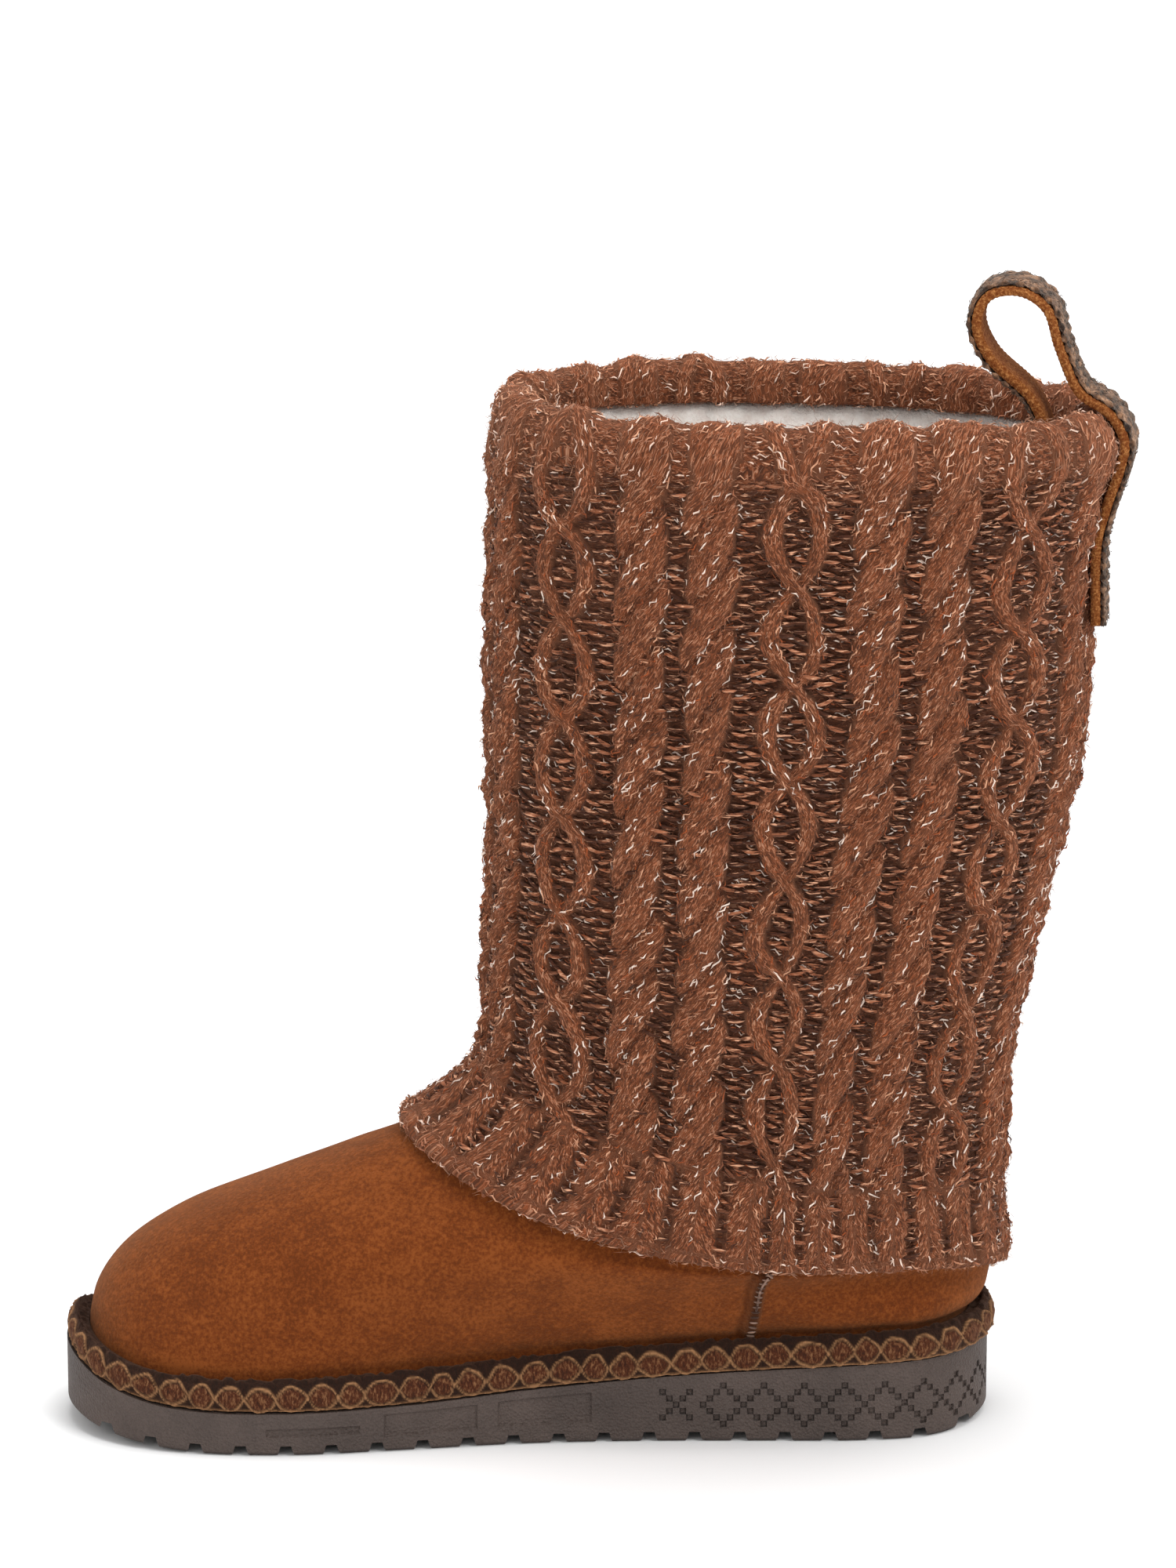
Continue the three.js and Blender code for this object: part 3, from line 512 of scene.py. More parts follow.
def end_group(tree, geometry, material):
    """Realizes the instances, gives them their material and ends the tree."""
    real = node(tree, "GeometryNodeRealizeInstances", {"Geometry": geometry}).outputs[0]
    done = node(tree, "GeometryNodeSetMaterial", {"Geometry": real, "Material": material}).outputs[0]
    node(tree, "NodeGroupOutput", {"Geometry": done})
    return tree


def laid_thing(tree, points, thing, rotation, scale, tone_seed, marl):
    """One copy of a thing at each point, each with a tone that is partly its neighbours'."""
    shape = node(tree, "GeometryNodeObjectInfo", {"Object": thing}).outputs["Geometry"]
    inputs = {"Points": points, "Instance": shape, "Rotation": rotation, "Scale": scale}
    copies = node(tree, "GeometryNodeInstanceOnPoints", inputs).outputs[0]
    own = random_number(tree, -0.3, 0.3, tone_seed)
    tone = maths(tree, "ADD", maths(tree, "MULTIPLY_ADD", marl, 3.2, -1.1), own)
    tone = node(tree, "ShaderNodeClamp", {"Value": tone}).outputs[0]
    inputs = {"Geometry": copies, "Name": "tone", "Value": tone}
    return node(tree, "GeometryNodeStoreNamedAttribute", inputs, data_type="FLOAT",
                domain="INSTANCE").outputs[0]


def scatter_group():
    """Fibres strewn over a surface, along its stored ways."""
    sockets = [("Where", "NodeSocketString"), ("Seed", "NodeSocketInt"), ("Fibre", "NodeSocketObject"),
               ("Material", "NodeSocketMaterial")]
    sockets += [(label, "NodeSocketFloat") for label in
                ("Density", "Shortest", "Longest", "Thickness", "Disorder", "Swirl", "Lift")]
    tree, given = new_group("strewn fibres", sockets)
    density = maths(tree, "MULTIPLY", named_field(tree, given["Where"], "FLOAT"), given["Density"])
    inputs = {"Mesh": given["Geometry"], "Density": density, "Seed": given["Seed"]}
    strewn = node(tree, "GeometryNodeDistributePointsOnFaces", inputs).outputs

    spread = node(tree, "FunctionNodeRandomValue", {0: (-1, -1, -1), 1: (1, 1, 1), 8: 3},
                  data_type="FLOAT_VECTOR").outputs[0]
    astray = vector_maths(tree, "SCALE", spread, given["Disorder"])
    place = node(tree, "GeometryNodeInputPosition").outputs[0]
    eddies = node(tree, "ShaderNodeTexNoise", {"Vector": place, "Scale": SWIRL_SCALE}).outputs["Color"]
    eddies = vector_maths(tree, "SUBTRACT", eddies, (0.5, 0.5, 0.5))
    way = vector_maths(tree, "ADD", named_field(tree, "way"), astray)
    way = vector_maths(tree, "ADD", way, vector_maths(tree, "SCALE", eddies, given["Swirl"]))

    lift = random_number(tree, 0.0, given["Lift"], 5)
    inputs = {"Geometry": strewn["Points"], "Offset": vector_maths(tree, "SCALE", strewn["Normal"], lift)}
    raised = node(tree, "GeometryNodeSetPosition", inputs).outputs[0]
    roll = node(tree, "ShaderNodeCombineXYZ", {"X": random_number(tree, -1.6, 1.6, 9)}).outputs[0]
    roll = node(tree, "FunctionNodeEulerToRotation", {"Euler": roll}).outputs[0]
    inputs = {"Rotation": turned(tree, way, strewn["Normal"]), "Rotate By": roll}
    rotation = node(tree, "FunctionNodeRotateRotation", inputs, rotation_space="LOCAL").outputs[0]
    length = random_number(tree, given["Shortest"], given["Longest"], 7)
    inputs = {"X": length, "Y": given["Thickness"], "Z": given["Thickness"]}
    scale = node(tree, "ShaderNodeCombineXYZ", inputs).outputs[0]
    along_yarn = vector_maths(tree, "MULTIPLY", named_field(tree, "weave"), YARN_STREAK)
    marl = noise(tree, along_yarn, 1.0, 2.0, 0.5, 0.8)
    copies = laid_thing(tree, raised, given["Fibre"], rotation, scale, 11, marl)
    return end_group(tree, copies, given["Material"])


def row_group():
    """Things set at given points, each along its own way, facing and size."""
    sockets = (("Thing", "NodeSocketObject"), ("Seed", "NodeSocketInt"), ("Material", "NodeSocketMaterial"))
    tree, given = new_group("things in rows", sockets)
    rotation = turned(tree, named_field(tree, "way"), named_field(tree, "facing"))
    marl = noise(tree, node(tree, "GeometryNodeInputPosition").outputs[0], MARL_SCALE, 2.0)
    copies = laid_thing(tree, given["Geometry"], given["Thing"], rotation, named_field(tree, "size"),
                        given["Seed"], marl)
    return end_group(tree, copies, given["Material"])


def bake_group(name, base, group, values):
    """Runs a node tree on a base object and keeps the result as a plain mesh object."""
    modifier = base.modifiers.new(group.name, "NODES")
    modifier.node_group = group
    ids = {item.name: item.identifier for item in group.interface.items_tree if item.in_out == "INPUT"}
    for label, value in values.items():
        modifier[ids[label]] = value
    deps = bpy.context.evaluated_depsgraph_get()
    deps.update()
    mesh = bpy.data.meshes.new_from_object(base.evaluated_get(deps), preserve_all_data_layers=True,
                                           depsgraph=deps)
    base.modifiers.clear()
    mesh.name = name
    if not len(mesh.polygons):
        raise RuntimeError(f"the node tree {group.name} made nothing for {name}")
    piece = bpy.data.objects.new(name, mesh)
    bpy.context.scene.collection.objects.link(piece)
    return piece


def drop(*objects):
    for thing in objects:
        bpy.data.objects.remove(thing, do_unlink=True)


def fibre_shape(bends):
    """A fibre one unit long and one unit thick, closed, pointed at both ends, with sideways bends."""
    points = [(-0.5, 0, 0)]
    for i, bend in enumerate(bends):
        along = (i + 1) / (len(bends) + 1) - 0.5
        points += [(along, bend + 0.5 * math.cos(a), 0.5 * math.sin(a))
                   for a in (math.pi / 2, math.pi * 7 / 6, math.pi * 11 / 6)]
    points.append((0.5, 0, 0))
    last, end = len(points) - 4, len(points) - 1
    faces = [(0, 1, 2), (0, 2, 3), (0, 3, 1)]
    for i in range(1, last, 3):
        faces += [(i + j, i + 3 + j, i + 3 + (j + 1) % 3, i + (j + 1) % 3) for j in range(3)]
    faces += [(end, last + (j + 1) % 3, last + j) for j in range(3)]
    return face_outwards(mesh_from("fibre", np.array(points, float), faces))


def yarn_bit(steps, sides, bow):
    """A short closed bit of yarn, one unit long and thick, bowed upwards in the middle."""
    rings = []
    for i in range(1, steps):
        share = i / steps
        radius = 0.5 * math.sin(math.pi * share) ** 0.45
        rise = bow * math.sin(math.pi * share)
        angles = (2 * math.pi * j / sides for j in range(sides))
        rings.append([(share - 0.5, radius * math.cos(a), rise + radius * math.sin(a)) for a in angles])
    points = [(-0.5, 0, 0)] + [p for ring in rings for p in ring] + [(0.5, 0, 0)]
    faces = [(0, 1 + j, 1 + (j + 1) % sides) for j in range(sides)]
    for i in range(steps - 2):
        a, b = 1 + i * sides, 1 + (i + 1) * sides
        faces += [(a + j, b + j, b + (j + 1) % sides, a + (j + 1) % sides) for j in range(sides)]
    last, end = 1 + (steps - 2) * sides, len(points) - 1
    faces += [(end, last + (j + 1) % sides, last + j) for j in range(sides)]
    return face_outwards(mesh_from("yarn bit", np.array(points, float), faces))


# Finishes

def srgb(red, green, blue):
    """A colour given as it looks on a screen, 0 to 255."""
    return tuple(((c / 255 + 0.055) / 1.055) ** 2.4 if c > 10 else c / 255 / 12.92
                 for c in (red, green, blue))


def knit_finish(colours):
    """The knitted cloth under its fibres: mottled yarn, with painted shade in the gutters."""
    material, tree, shader = new_finish("brushed mottled yarn", 0.95, 0.25, colours.knit_light, 0.2)
    weave = stored(tree, "weave", "Vector")
    streaks = noise(tree, stretched(tree, weave, (1.9, 0.5, 1)), 1.0, 4, 0.6, 1.1)
    mottle = ramp(tree, streaks, ((0.36, colours.knit_deepest_and_gutter_shade), (0.45, colours.knit_dark_and_shade),
                                  (0.5, colours.knit_mid), (0.56, colours.knit_rust),
                                  (0.62, colours.knit_light)))
    calm = maths(tree, "MULTIPLY_ADD", stored(tree, "depth"), -0.3, 0.3)
    mottle = mixed(tree, calm, mottle, colours.knit_mid)
    patches = noise(tree, object_place(tree), 55, 3)
    tinted = mixed(tree, maths(tree, "MULTIPLY", patches, 0.35), mottle, colours.knit_dark_and_shade)
    # Painted shade: the colour darkens towards the deepest yarn tone where the knit lies deep in its gutters
    deep = maths(tree, "MULTIPLY", stored(tree, "depth"), 0.8)
    tree.links.new(mixed(tree, deep, tinted, colours.knit_deepest_and_gutter_shade), shader.inputs["Base Color"])
    ridges = noise(tree, stretched(tree, weave, (2.8, 0.9, 1)), 1.0, 5, 0.65, 1.3)
    raise_bump(tree, shader, ridges, 0.0008, 0.8)
    return material


def fibre_finish(name, stops, colours):
    """Single fibres, each in one tone, with painted shade deep down, and paler at the hem and over the
    collar's roll.
    """
    material, tree, shader = new_finish(name, 0.9, 0.15, (0.8, 0.6, 0.5), 0.25)
    tone = ramp(tree, stored(tree, "tone"), stops, "CONSTANT")
    # Paler at the hem and over the collar's roll, by the stored pale value
    pale = maths(tree, "MULTIPLY", stored(tree, "pale"), 0.35)
    tone = mixed(tree, pale, tone, colours.knit_light)
    # Painted shade: fibres deep in the gutters are darkened towards the dark yarn tone
    deep = maths(tree, "MULTIPLY", stored(tree, "depth"), 0.4)
    tree.links.new(mixed(tree, deep, tone, colours.knit_dark_and_shade), shader.inputs["Base Color"])
    return material


def nap_stops(colours):
    return ((0.0, colours.knit_dark_and_shade), (0.14, colours.knit_mid), (0.42, colours.knit_rope),
            (0.66, colours.knit_dark_and_shade), (0.78, colours.knit_rust), (0.86, colours.knit_light))


def yarn_stops(colours):
    return ((0.0, colours.knit_mid), (0.16, colours.knit_rope), (0.3, colours.knit_dark_and_shade),
            (0.42, colours.knit_rust), (0.54, colours.knit_light), (0.7, colours.knit_cream))


def purl_finish(colours):
    """The yarn of the purl stitches, with pale plies along it."""
    material, tree, shader = new_finish("purl yarn", 0.95, 0.15, (0.8, 0.6, 0.5), 0.2)
    tone = ramp(tree, stored(tree, "tone"), ((0.2, colours.knit_dark_and_shade), (0.4, colours.knit_mid),
                                             (0.6, colours.knit_rope), (0.75, colours.knit_dark_and_shade)))
    plies = noise(tree, stretched(tree, object_place(tree), (230, 230, 1700)), 1.0, 4, 0.6, 0.8)
    pale = ramp(tree, plies, ((0.56, (0, 0, 0)), (0.62, (1, 1, 1))))
    dark = ramp(tree, plies, ((0.4, (1, 1, 1)), (0.48, (0, 0, 0))))
    tone = mixed(tree, dark, tone, colours.knit_deepest_and_gutter_shade)
    tree.links.new(mixed(tree, pale, tone, colours.knit_light), shader.inputs["Base Color"])
    raise_bump(tree, shader, plies, 0.0006, 0.9)
    return material


def suede_finish(colours):
    """Microfibre suede: fine nap, soft lighter and darker brushings."""
    material, tree, shader = new_finish("brushed suede", 0.92, 0.3, (0.75, 0.42, 0.22), 0.1)
    place = object_place(tree)
    brushed = noise(tree, stretched(tree, place, (60, 110, 110)), 1.0, 5, 0.7)
    cloud = noise(tree, place, 22, 3)
    fine = noise(tree, place, 850, 4, 0.75)
    tone = maths(tree, "ADD", maths(tree, "MULTIPLY", brushed, 0.4), maths(tree, "MULTIPLY", cloud, 0.25))
    tone = maths(tree, "ADD", tone, maths(tree, "MULTIPLY_ADD", fine, 0.9, -0.275))
    stops = ((0.39, colours.suede_dark), (0.5, colours.suede), (0.61, colours.suede_light))
    # The stored seam value paints the seam's ridge dark and the shadow in the valley ahead of it
    colour = mixed(tree, stored(tree, "seam"), ramp(tree, tone, stops), colours.seam)
    tree.links.new(colour, shader.inputs["Base Color"])
    nap = noise(tree, place, 1100, 5, 0.75)
    raise_bump(tree, shader, nap, 0.0008, 0.8)
    return material


def rubber_finish(name, dark, light):
    """Foamed rubber with a fine pebbled skin and a little dust."""
    material, tree, shader = new_finish(name, 0.62, 0.0, specular=0.35)
    place = object_place(tree)
    cloud = noise(tree, place, 40, 4)
    pebbles = node(tree, "ShaderNodeTexVoronoi", {"Vector": place, "Scale": 1300}).outputs["Distance"]
    colour = ramp(tree, cloud, ((0.3, dark), (0.7, light)))
    tree.links.new(colour, shader.inputs["Base Color"])
    grain = maths(tree, "ADD", pebbles, noise(tree, place, 700, 4))
    raise_bump(tree, shader, grain, 0.0006, 0.8)
    return material


def fleece_finish(colours):
    """Curly pile, cream, with painted shade where it is deep."""
    material, tree, shader = new_finish("curly fleece", 0.98, 0.5, (1, 1, 1), 0.1)
    curls = noise(tree, object_place(tree), 330, 5, 0.7)
    # Painted shade: where the curls' noise is low, and the bump sinks, the pile takes the darker tone
    colour = ramp(tree, curls, ((0.3, colours.fleece_hollow_shade), (0.6, colours.fleece)))
    tree.links.new(colour, shader.inputs["Base Color"])
    raise_bump(tree, shader, curls, 0.002, 0.9)
    return material


def thread_finish(colours):
    material, tree, shader = new_finish("seam thread", 0.8, 0.2, (1, 0.9, 0.8), 0.3)
    tone = ramp(tree, stored(tree, "tone"), ((0.0, colours.thread_dark), (0.45, colours.thread)))
    tree.links.new(tone, shader.inputs["Base Color"])
    return material


def rand_finish(colours):
    """Woven braid: rust ovals, tan outlines and a dark strip along the top."""
    material, tree, shader = new_finish("woven braid", 0.95, 0.2, colours.knit_light, 0.2)
    place = object_place(tree)
    speck = noise(tree, stretched(tree, place, (1, 1, 0.35)), 1500, 4, 0.7)
    stops = ((0.36, colours.rand_dark), (0.5, colours.rand_rust), (0.85, colours.rand_light))
    rust = ramp(tree, speck, stops)
    tan = ramp(tree, speck, ((0.26, colours.rand_rust), (0.5, colours.rand_light)))
    dark = ramp(tree, speck, ((0.4, colours.rand_black), (0.75, colours.rand_dark)))
    base = mixed(tree, stored(tree, "oval"), dark, rust)
    base = mixed(tree, stored(tree, "yarn"), base, tan)
    base = mixed(tree, stored(tree, "strip"), base, dark)
    tree.links.new(base, shader.inputs["Base Color"])
    raise_bump(tree, shader, speck, 0.0007, 0.8)
    return material


def webbing_finish(colours):
    """Mottled fuzzy webbing, beige and dark bits."""
    material, tree, shader = new_finish("mottled webbing", 0.95, 0.3, (0.8, 0.7, 0.6), 0.2)
    place = object_place(tree)
    bits = noise(tree, place, 300, 5, 0.65)
    colour = ramp(tree, bits, ((0.4, colours.web_dark), (0.52, colours.web), (0.66, colours.web_light)))
    tree.links.new(colour, shader.inputs["Base Color"])
    raise_bump(tree, shader, noise(tree, place, 1100, 4), 0.0008, 0.9)
    return material


def backing_finish(colours):
    """Suede tape with fine lines of weave across it."""
    material, tree, shader = new_finish("suede tape", 0.92, 0.3, colours.suede_light, 0.2)
    place = object_place(tree)
    nap = noise(tree, place, 1300, 4, 0.7)
    colour = ramp(tree, nap, ((0.36, colours.suede), (0.5, colours.tape), (0.62, colours.tape_light)))
    tree.links.new(colour, shader.inputs["Base Color"])
    raise_bump(tree, shader, nap, 0.001, 0.9)
    return material


# Knit

def knit_relief(step, climb, place):
    """Height of the knit over its floor in mm, the slant of its strands, how deep it lies, and the
    distance across the strands in mm."""
    local = np.mod(step + 1, REPEAT_STEPS) - 1
    odd = np.mod(np.floor((step + 1) / REPEAT_STEPS), 2)
    height = np.full(step.shape, KNIT_FLOOR)
    slant = np.full(step.shape, NO_SLANT)
    cross = climb * np.ones(step.shape)
    across = (local - CHAIN_MIDDLE) * STEP
    oval = CHAIN_HEIGHT - CHAIN_PITCH / 2 * (1 - odd)
    phase = math.pi * (climb - oval) / CHAIN_PITCH + math.pi / 2
    swing = CHAIN_HALF * squared(np.sin(phase), 0.8)
    lean = CHAIN_HALF * math.pi / CHAIN_PITCH * np.cos(phase)
    for side in (1, -1):
        off = (across - side * swing) / CHAIN_STRAND
        dome = np.sqrt(np.clip(1 - off * off, 0, 1))
        over = 0.8 * side * np.cos(phase) * np.exp(-(swing / 4) ** 2)
        top = dome * (2.2 + over) + KNIT_FLOOR
        taller = (top > height) & (dome > 0)
        height = np.where(taller, top, height)
        slant = np.where(taller, -side * lean, slant)
        cross = np.where(taller, across - side * swing, cross)
    for middle in ROPE_MIDDLES:
        off = (local - middle) / ROPE_HALF
        turns = (climb + ROPE_RISE * off + 5 * middle) / ROPE_PITCH
        lobe = np.abs(np.sin(math.pi * turns)) ** 0.8
        dome = np.clip(1 - np.abs(off * (1.34 - 0.34 * lobe)) ** 2.6, 0, 1) ** 0.5
        top = dome * (0.4 + 3.1 * lobe) + KNIT_FLOOR
        inside = dome > 0
        height = np.where(inside, np.maximum(height, top), height)
        slant = np.where(inside, ROPE_SLANT, slant)
        cross = np.where(inside, (local - middle) * STEP + ROPE_SLANT * climb, cross)
    ribs = np.mod(step * RIBS_PER_REPEAT / REPEAT_STEPS, 1) - RIB_HALF
    rib = np.sqrt(np.clip(1 - (ribs / RIB_HALF) ** 2, 0, 1))
    rib_top = 0.75 + 1.5 * rib - 0.45 * np.exp(-(ribs / 0.05) ** 2)
    in_cables = smoothstep(RIB_TOP_RING - 0.35, RIB_TOP_RING + 0.15, place)
    height = mix(rib_top, height, in_cables)
    rib_slant = RIB_SLANT * np.sign(ribs)
    slant = np.where(in_cables > 0.5, slant, np.where(rib > 0, rib_slant, NO_SLANT))
    wale = across + np.where(rib > 0, rib_slant * climb, 0)
    cross = np.where(in_cables > 0.5, cross, np.where(rib > 0, wale, climb))
    near_top = smoothstep(COLLAR_RING - 0.5, COLLAR_RING - 0.05, place)
    height = mix(height, 1.1 + 0.6 * height, near_top)
    height = mix(1.1 + 0.5 * height, height, smoothstep(HEM_RING + 0.05, HEM_RING + 0.5, place))
    deep = 1 - smoothstep(0.3, 1.9, height)
    return height, slant, deep, cross


def even_places(low, high, count, turns):
    """Places between two rings that lie evenly up the wall."""
    fine = np.linspace(low, high, 160)
    grid = upper_point(turns[:, None], fine[None, :])
    climbed = np.linalg.norm(np.diff(grid, axis=1), axis=-1).mean(0)
    lengths = np.concatenate([[0], np.cumsum(climbed)])
    return np.interp(np.linspace(0, lengths[-1], count), lengths, fine)


def strap_bulge(turns, below_top):
    """How far the knit swells at the back, in mm, where the pull loop stands off the shaft."""
    behind = np.exp(-(np.minimum(turns, 2 * math.pi - turns) / 0.3) ** 2)
    return STRAP_BULGE * behind * np.exp(-((below_top - STRAP_BULGE_DROP) / 9) ** 2)


def knit_outside(steps, turns, rows):
    """The sleeve's outside from its hem to the roll: points, thickness in mm, climb in mm, waves and
    what knit_relief gives there."""
    places = even_places(HEM_RING + 0.05, COLLAR_RING - 0.15, rows, turns)
    climb = wall_point(turns[:, None], places[None, :], 0.0)[..., 2] / MM
    round_boot = np.broadcast_to(steps[:, None], climb.shape)
    shift = random_field(climb.shape, 3, (14, 9)) - 0.5
    delay = random_field(climb.shape, 4, (30, 20)) - 0.5
    relief = knit_relief(round_boot + 0.7 * shift, climb + 7 * delay, places[None, :])
    waves = ripple(round_boot * 0.9, climb * 0.35, 2) * 0.7
    lumps = random_field(climb.shape, 5, (4, 2)) - 0.5 + 0.8 * (random_field(climb.shape, 6, (2, 1)) - 0.5)
    top_height = collar_point(turns, 0.0, 0.0)[:, None, 2] / MM + COLLAR_ROLL / MM
    bulge = strap_bulge(turns[:, None], top_height - climb)
    thick = KNIT_BASE + relief[0] + waves + lumps * (0.35 + 0.3 * relief[0]) + bulge
    points = wall_point(turns[:, None], places[None, :], (KNIT_CLEARANCE / MM + thick) * MM)
    return points, thick, climb, waves, relief


def knit_roll(steps, turns, top, waves):
    """Rows of the sleeve where it rolls over the collar, and how far up the knit each lies, in mm."""
    lap = top - collar_point(turns, 0.0, 0.0)[:, 2] / MM
    rim_lumps = (random_field((len(steps), 4), 15, (9, 2))[:, 1] - 0.35) * 3.2
    rows, climbs = [], []
    for angle in np.linspace(0, math.pi, 15)[1:-1]:
        climbs.append(top + ROLL_GIRTH * angle)
        raised = knit_relief(steps, climbs[-1], COLLAR_RING)[0]
        wall = KNIT_BASE + raised * 0.75 + waves
        side = math.cos(angle)
        clear = (KNIT_CLEARANCE if side > 0 else FOLD_GAP) / MM
        out = -WALL / 2 / MM + (WALL / 2 / MM + clear + wall) * squared(side, 0.8)
        share = math.sin(angle) ** 0.8
        low = lap if side > 0 else -ROLL_INSIDE / MM
        rise = (COLLAR_ROLL / MM + (raised - 1.6) * 0.7 + rim_lumps) * share + low * (1 - share)
        out = out + strap_bulge(turns, COLLAR_ROLL / MM - rise) * max(side, 0)
        rows.append(collar_point(turns, out * MM, rise * MM))
    return rows, climbs


def knit_turned_in(steps, turns, top):
    """Rows of the sleeve's turn-in at the inside of the shaft, and how far up the knit each lies, in mm."""
    places = np.linspace(COLLAR_RING - ROLL_INSIDE / TOP_SPACING, FOLD_RING, 6)
    rows, climbs = [], []
    for place, along in zip(places, np.linspace(0, 1, len(places))):
        down = top - wall_point(turns, place, 0.0)[:, 2] / MM
        climbs.append(top + ROLL_GIRTH * math.pi + down)
        raised = knit_relief(steps, climbs[-1], COLLAR_RING)[0]
        wall = (KNIT_BASE + raised * 0.8) * (1 - smoothstep(0.75, 1, along) * 0.92)
        rows.append(wall_point(turns, place, -WALL - FOLD_GAP - wall * MM))
    return rows, climbs


def knit_grid(columns, rows):
    """Points of the sleeve, closed round the boot and round its own section, with the ways, depth and
    other values that its fibres and finish need."""
    steps = np.arange(columns) * STEPS_ROUND / columns
    turns = knit_turns(steps)
    outside, thick, climb, waves, (_, slant, deep, cross) = knit_outside(steps, turns, rows)
    hem_rows = [wall_point(turns, HEM_RING + lift, (KNIT_CLEARANCE / MM + share * thick[:, 0]) * MM)
                for lift, share in KNIT_HEM]
    roll_rows, roll_climbs = knit_roll(steps, turns, climb[:, -1], waves[:, -1])
    fold_rows, fold_climbs = knit_turned_in(steps, turns, climb[:, -1])
    hidden = [wall_point(turns, FOLD_RING, -WALL - FOLD_GAP), collar_point(turns, -WALL - FOLD_GAP, GAP),
              collar_point(turns, KNIT_CLEARANCE, GAP)]
    hidden += [wall_point(turns, place, KNIT_CLEARANCE) for place in HIDDEN_PLACES]
    grid = np.stack(hem_rows + list(outside.transpose(1, 0, 2)) + roll_rows + fold_rows + hidden, 1)
    n_hem, n_hidden = len(hem_rows), len(hidden)

    def whole(at_hem, on_outside, over_collar, at_hidden):
        """A value on the whole section, from its four parts."""
        return np.concatenate([np.broadcast_to(at_hem, (columns, n_hem)), on_outside,
                               np.stack(over_collar, 1), np.broadcast_to(at_hidden, (columns, n_hidden))], 1)

    above = roll_climbs + fold_climbs
    _, slants_above, deeps_above, crosses_above = zip(*[knit_relief(steps, line, COLLAR_RING)
                                                        for line in above])
    climbs = whole(climb[:, :1] - np.arange(n_hem, 0, -1), climb, above, climb[:, :1])
    slants = whole(NO_SLANT, np.where(np.arange(rows) < 2, NO_SLANT, slant), slants_above, 0)
    deeps = whole(0.1, deep, deeps_above, 1)
    crosses = whole(cross[:, :1], cross, crosses_above, cross[:, :1])
    shown = np.ones(grid.shape[:2])
    shown[:, -n_hidden:] = 0
    level = np.clip(np.arange(grid.shape[1]) - n_hem, 0, rows)
    pale = np.maximum(1 - level / 4, smoothstep(rows - 12, rows - 2, level))
    along = np.where(slants == NO_SLANT, steps[:, None] * STEP, climbs)
    return grid, {"depth": deeps, "way": strand_ways(grid, slants), "raised": shown * mix(1.0, 0.6, deeps),
                  "sunk": shown * mix(0.5, 1.0, deeps), "weave": np.stack([crosses, along, deeps], -1),
                  "pale": np.tile(pale, (columns, 1))}


def strand_ways(grid, slants):
    """Way of the strands at each point: along the courses where the slant is marked as none."""
    around = unit(np.roll(grid, -1, 0) - np.roll(grid, 1, 0))
    up = unit(np.roll(grid, -1, 1) - np.roll(grid, 1, 1))
    flat = slants == NO_SLANT
    leaning = unit(up - around * np.where(flat, 0, slants)[..., None])
    return np.where(flat[..., None], around, leaning)


def purl_columns(rng):
    """Steps, places and climbs in mm of stitches in a column at each half step, one for each course."""
    fine = np.linspace(HEM_RING + 0.12, COLLAR_RING - 0.12, 200)
    found = []
    for step in np.arange(STEPS_ROUND) + 0.5:
        line = wall_point(np.full(200, knit_turns([step])[0]), fine, 0.0)
        lengths = walked(line) / MM
        up = np.arange(COURSE / 2 * (1 + step % 2), lengths[-1], COURSE)
        up = up + rng.normal(0, 0.25, len(up))
        climbs = np.interp(up, lengths, line[:, 2] / MM)
        found.append((np.full(len(up), step), np.interp(up, lengths, fine), climbs))
    return [np.concatenate(values) for values in zip(*found)]


def make_purl(settings):
    """The purl stitches that show between the cables and in the ribs' gutters, each a bowed bit of yarn."""
    rng = np.random.default_rng(31)
    steps, places, climbs = purl_columns(rng)
    steps = steps + rng.normal(0, 0.12, len(steps))
    height = knit_relief(steps, climbs, places)[0]
    keep = height < PURL_BELOW
    steps, places, height = steps[keep], places[keep], height[keep]
    turns = knit_turns(steps)
    out = (KNIT_CLEARANCE / MM + KNIT_BASE + height + 0.1) * MM
    points = wall_point(turns, places, out)
    facing = unit(wall_point(turns, places, out + 0.002) - points)
    around = unit(upper_point(turns + 0.01, places) - upper_point(turns - 0.01, places))
    up = unit(np.cross(facing, around))
    lean = rng.normal(0, 0.22, (len(steps), 1))
    sizes = [rng.uniform(low, high, len(steps)) for low, high in PURL_SIZES]
    base = row_base("purl stitches", points, unit(around + up * lean), unit(facing + up * 0.6),
                    np.stack(sizes, -1))
    bit = yarn_bit(4, 4, 0.5)
    values = {"Thing": bit, "Seed": 5, "Material": purl_finish(settings)}
    piece = bake_group("knit_purl", base, row_group(), values)
    drop(base, bit)
    finish_piece(piece, "knit", "knit_sleeve")


